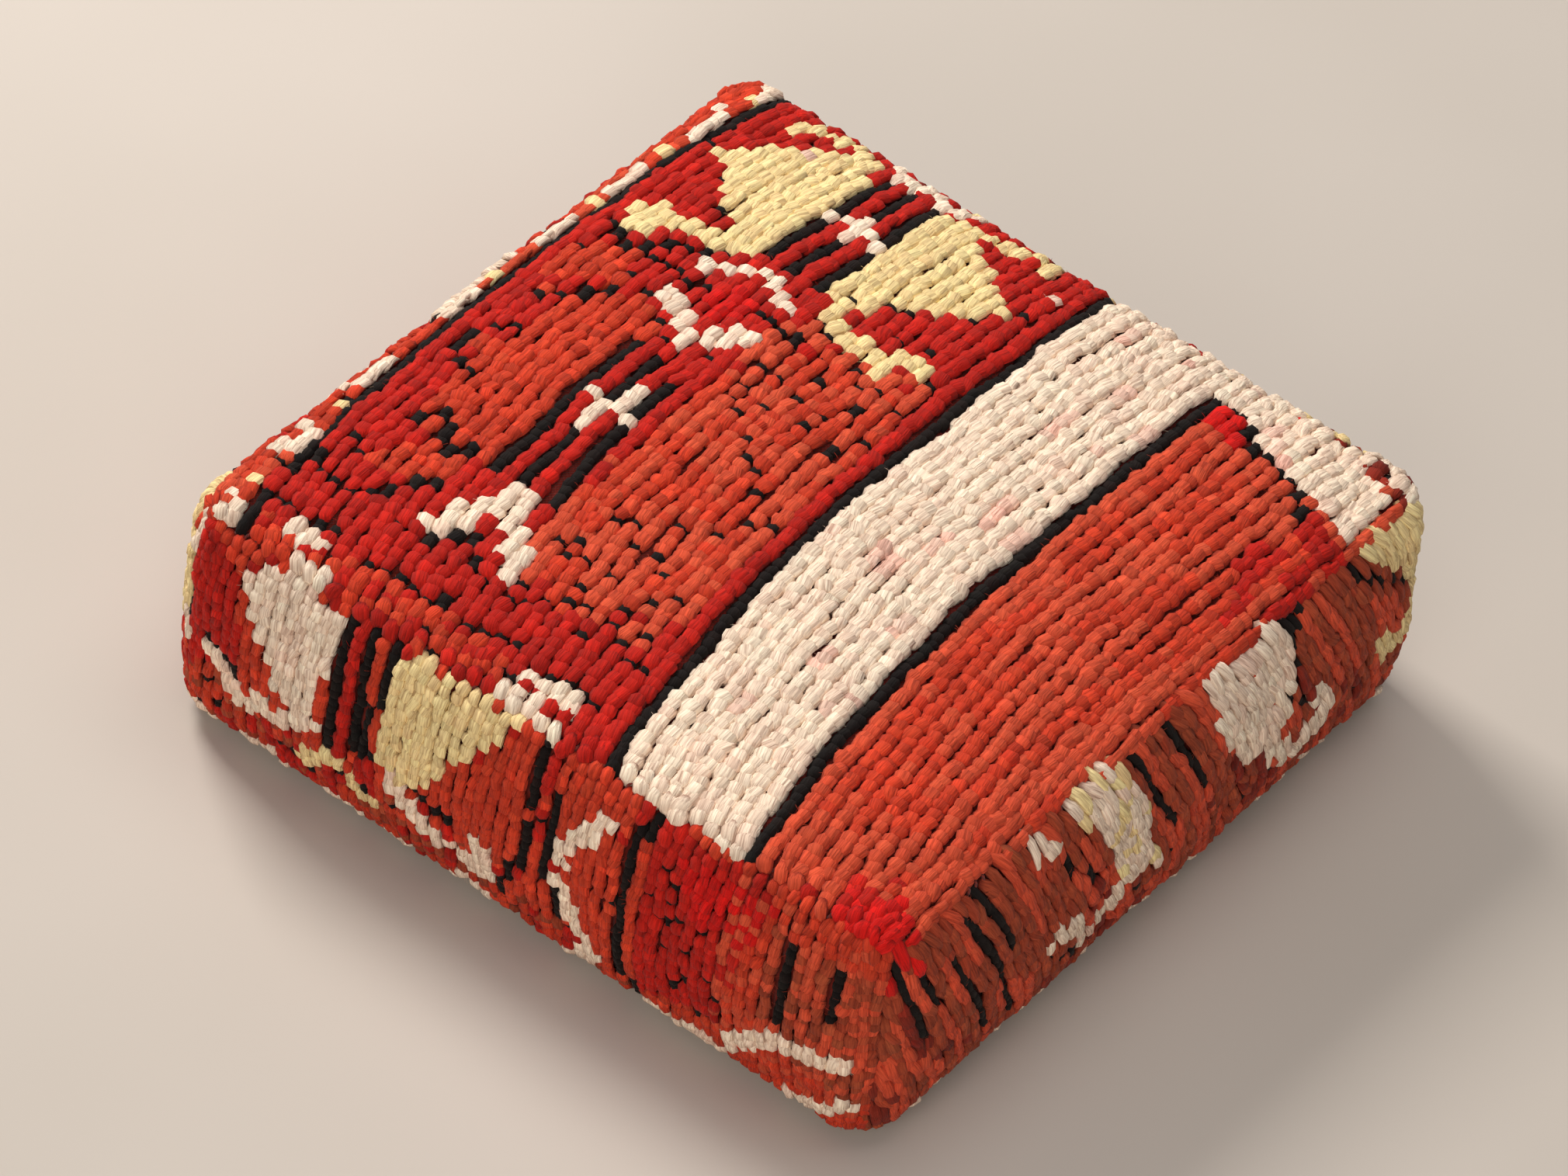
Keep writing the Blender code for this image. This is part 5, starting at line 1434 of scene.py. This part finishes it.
@dataclass
class ZipFastener:
    """The brass zip in the base: woven tapes, toothed chain, stops, slider and pull tab."""

    form: CoverForm
    tape_end: float = 0.234
    tape_inner: float = 0.0037
    tape_outer: float = 0.020
    tape_thickness: float = 0.0007

    def tape(self, side: int) -> Shape:
        """One tape: it follows the drawn-up cotton at 2.8 mm above its face, level over the slot."""
        form = self.form
        rows = np.linspace(self.tape_inner, self.tape_outer, 15)
        x, y = np.meshgrid(np.linspace(-self.tape_end, self.tape_end, 235), rows, indexing="ij")
        height = form.zip_rise(np.maximum(y, form.slot)) + form.cotton + 0.0022
        height = height + 0.00012 * np.sin(x * 900) * smooth((0.0075 - y) / 0.003)
        lower = np.stack([x, side * y, height], 2)
        upper = lower + np.array((0, 0, self.tape_thickness))
        if side > 0:
            lower, upper = lower[:, ::-1], upper[:, ::-1]
        return slab(lower, upper)

    def dress(self, names: Sequence[str], finish: bpy.types.Material) -> None:
        """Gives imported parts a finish."""
        for name in names:
            node = frame["nodes"][name]
            node.material_slots[0].material = finish
            LOG.info("%s: dressed in %s", name, finish.name)

    def build(self) -> None:
        """Builds the tapes and dresses the metal."""
        cloth = WeaveFinish("zip_tape_weave", (168, 146, 116), 0.0009, 0.0002).material()
        for side, name in ((-1, "zip_tape_front"), (1, "zip_tape_back")):
            made = self.tape(side).piece(f"{name}_weave", cloth)
            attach(made, "cushion")
            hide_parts(name)
            LOG.info("%s: %d faces", made.name, len(made.data.polygons))
        brass = MetalFinish("slider_brass", (206, 164, 92), (112, 80, 42)).material()
        stops = MetalFinish("stop_brass", (196, 154, 88), (104, 76, 44), 0.42).material()
        self.dress(("zip_chain_front", "zip_chain_back"), ChainFinish().material())
        self.dress(("zip_bottom_stop", "zip_top_stop_front", "zip_top_stop_back"), stops)
        self.dress(("zip_slider", "zip_pull_tab"), brass)


@dataclass
class InnerCushion:
    """The calico case under the cover and its filling."""

    case: CoverForm
    filling: CoverForm
    cloth: float = 0.0012

    def lining(
        self, name: str, shape: Shape, finish: bpy.types.Material
    ) -> None:
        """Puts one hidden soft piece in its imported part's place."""
        made = shape.piece(f"{name}_soft", finish)
        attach(made, "cushion")
        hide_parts(name)
        LOG.info("%s: %d faces", made.name, len(made.data.polygons))

    def body(self) -> Shape:
        """The filling as one closed body: rings of the rim, drawn in to a pole above and below.

        Ring k is the outline times a share; shares rise from the lower pole to the wall, hold up
        the wall while it swells, and fall again to the upper pole. Lumps follow a ripple.
        """
        form = self.filling
        x, y, normal = form.rim(48)
        plan = form.outline(x, y, form.pile)
        flat = np.sin(np.linspace(0, np.pi / 2, 26))[1:]
        up = np.linspace(-1, 1, 17)[1:-1]
        share = np.concatenate([flat, np.ones(len(up)), flat[::-1]])
        low, high = 0.022, form.top_seam - form.pile
        middle = low + (high - low) * (up + 1) / 2
        level = np.concatenate([np.full(len(flat), low), middle, np.full(len(flat), high)])
        swell = np.concatenate([np.zeros(len(flat)), 1 - up**2, np.zeros(len(flat))])
        out = (0.010 * swell - 0.004)[None, :, None]
        rings = plan[:, None] * share[None, :, None] + normal[:, None] * out
        crown = form.crown * (1 - share**2.6) * (level > 0.1)
        base = -0.008 * (1 - share**6) * (level < 0.05)
        lumps = 0.0016 * ripple(rings[..., 0], rings[..., 1] + level * 2, 91, length=0.07)
        height = level + crown + base + lumps - 0.002 * (level > 0.1)
        grid = np.concatenate([rings, np.broadcast_to(height, rings.shape[:2])[..., None]], 2)
        around, many = grid.shape[:2]
        index = np.arange(around * many).reshape(around, many)
        after = np.roll(index, -1, axis=0)
        a, b, c, d = (part.ravel() for part in (index[:, :-1], after[:, :-1], after[:, 1:], index[:, 1:]))
        pole_low, pole_high = around * many, around * many + 1
        ends = [
            np.stack([np.full(around, pole_low), after[:, 0], index[:, 0]], 1),
            np.stack([np.full(around, pole_high), index[:, -1], after[:, -1]], 1),
        ]
        faces = np.concatenate([np.stack([a, b, c], 1), np.stack([a, c, d], 1), *ends])
        poles = np.array([[0, 0, grid[:, 0, 2].mean()], [0, 0, grid[:, -1, 2].mean()]])
        return Shape(np.concatenate([grid.reshape(-1, 3), poles]), faces, {})

    def ring(self, high: bool) -> Shape:
        """One of the case's seams: short running stitches just inside its edge."""
        form = self.case
        x, y, normal = form.rim(130)
        plan = form.outline(x, y) - normal * (form.pile + form.seam_sink - 0.001)
        tangent = np.concatenate([-normal[:, 1:], normal[:, :1], np.zeros((len(x), 1))], 1)
        height = form.top_seam - form.pile - form.seam_sink if high else form.base_seam + 0.003
        middle = np.concatenate([plan, np.full((len(x), 1), height)], 1)
        t = np.linspace(-0.0016, 0.0016, 6)[None, :, None]
        path = middle[:, None] + tangent[:, None] * t
        across = np.broadcast_to(np.concatenate([normal, np.zeros((len(x), 1))], 1)[:, None], path.shape)
        over = np.broadcast_to(np.array((0.0, 0.0, 1.0)), path.shape)
        thick = np.full(path.shape[:2], 0.0006)
        return strands(path, across, over, thick, thick, 5)

    def build(self) -> None:
        """Builds the case, its seams and the filling."""
        calico = WeaveFinish("calico", (232, 224, 206), 0.0011, 0.0002).material()
        thread = TwistFinish("case_thread", (236, 232, 220), 0.0010).material()
        form = self.case
        a, b = np.meshgrid(np.linspace(-1, 1, 73), np.linspace(-1, 1, 73), indexing="ij")
        top = form.top(a, b)
        drop = np.array((0.0, 0.0, self.cloth))
        self.lining("insert_case_top", slab(top, top - drop), calico)
        plan = form.outline(a * form.half, b * form.half, form.pile + form.seam_sink)
        room = 0.0062 * smooth((0.032 - np.abs(plan[..., 1])) / 0.02)
        height = form.underside(plan[..., 0], plan[..., 1]) + 0.0036 + room
        base = np.concatenate([plan, height[..., None]], 2)[:, ::-1]
        self.lining("insert_case_base", slab(base, base + drop), calico)
        x, y, normal = form.rim(73)
        level = np.linspace(-1, 1, 21)
        low, high = form.base_seam + 0.004, form.top_seam - form.pile - form.seam_sink - 0.001
        sunk = form.sunk((1 - np.abs(level)) * 0.08)
        bulge = form.side_bulge * (1 - level**2) * 0.8 - form.pile - sunk - 0.0005
        ring = form.outline(x, y)[:, None] + normal[:, None] * bulge[None, :, None]
        heights = np.broadcast_to(low + (high - low) * (level + 1) / 2, ring.shape[:2])
        wall = np.concatenate([ring, heights[..., None]], 2)
        inside = wall - np.concatenate([normal, np.zeros((len(x), 1))], 1)[:, None] * self.cloth
        self.lining("insert_case_band", slab(wall, inside, closed=True), calico)
        self.lining("insert_seam_thread_top", self.ring(True), thread)
        self.lining("insert_seam_thread_base", self.ring(False), thread)
        self.lining("fibre_filling", self.body(), FibreFinish().material())


# The place it stands in


@dataclass
class Studio:
    """A pale floor, soft light and the camera."""

    aim: tuple[float, float, float] = (-0.010, -0.008, 0.100)
    azimuth: float = 32.67
    elevation: float = 44.65
    roll: float = 8.12
    distance: float = 6.218
    lens: float = 213.9

    def camera(self) -> None:
        """Makes the camera, turned about its own line of sight by the roll."""
        data = bpy.data.cameras.new("camera")
        data.lens = self.lens
        data.sensor_width = 36.0
        data.clip_end = 60.0
        made = bpy.data.objects.new("camera", data)
        bpy.context.scene.collection.objects.link(made)
        az, el, roll = (math.radians(x) for x in (self.azimuth, self.elevation, self.roll))
        back = Vector((math.sin(az) * math.cos(el), -math.cos(az) * math.cos(el), math.sin(el)))
        right = Vector((math.cos(az), math.sin(az), 0.0))
        up = back.cross(right)
        turned = right * math.cos(roll) + up * math.sin(roll)
        upright = back.cross(turned)
        made.matrix_world = Matrix.Translation(Vector(self.aim) + back * self.distance) @ Matrix(
            (
                (turned.x, upright.x, back.x, 0),
                (turned.y, upright.y, back.y, 0),
                (turned.z, upright.z, back.z, 0),
                (0, 0, 0, 1),
            )
        )
        bpy.context.scene.camera = made

    def lamp(self, name: str, place: Vector, size: float, power: float, colour: Colour) -> None:
        """Makes one soft square lamp that looks at the cushion."""
        data = bpy.data.lights.new(name, "AREA")
        data.size = size
        data.energy = power
        data.color = colour
        made = bpy.data.objects.new(name, data)
        made.location = place
        made.rotation_mode = "QUATERNION"
        made.rotation_quaternion = (Vector(self.aim) - place).to_track_quat("-Z", "Y")
        bpy.context.scene.collection.objects.link(made)

    def floor(self) -> None:
        """Makes the plain floor."""
        graph = Graph("floor")
        cloud = graph.noise(graph.place(), 1.3, 3.0)
        tone = graph.mix(cloud.span(0.3, 0.7), linear((198, 187, 175)), linear((206, 195, 184)))
        finish = graph.surface(Base_Color=tone, Roughness=0.95, Specular_IOR_Level=0.1)
        plane = np.array([[[-9, -9, 0], [-9, 9, 0]], [[9, -9, 0], [9, 9, 0]]], float)
        made = slab(plane, plane - np.array((0, 0, 0.02))).piece("floor", finish)
        made.data.shade_flat()

    def build(self) -> None:
        """Sets everything up."""
        self.camera()
        self.lamp("key", Vector((-2.6, 0.7, 2.7)), 1.2, 116.0, (1.0, 0.98, 0.95))
        self.lamp("fill", Vector((1.2, -2.8, 1.7)), 2.0, 38.0, (1.0, 0.96, 0.91))
        self.lamp("overhead", Vector((0.2, 0.4, 3.2)), 2.0, 24.0, (1.0, 1.0, 1.0))
        world = bpy.data.worlds.new("room")
        world.use_nodes = True
        world.node_tree.nodes["Background"].inputs[0].default_value = (0.95, 0.97, 1.0, 1.0)
        world.node_tree.nodes["Background"].inputs[1].default_value = 0.27
        bpy.context.scene.world = world
        bpy.context.scene.view_settings.view_transform = "Standard"
        self.floor()


def main() -> None:
    """Builds the studio and every sub-assembly in order."""
    logging.basicConfig(level=logging.INFO, format="%(name)s %(message)s")
    Studio().build()
    form = CoverForm()
    RugCover(form).build()
    SewnSeams(form).build()
    CottonBase(form).build()
    ZipFastener(form).build()
    InnerCushion(CoverForm(pile=0.0150, unevenness=0.0), CoverForm(pile=0.0180)).build()


if __name__ == "__main__":
    main()
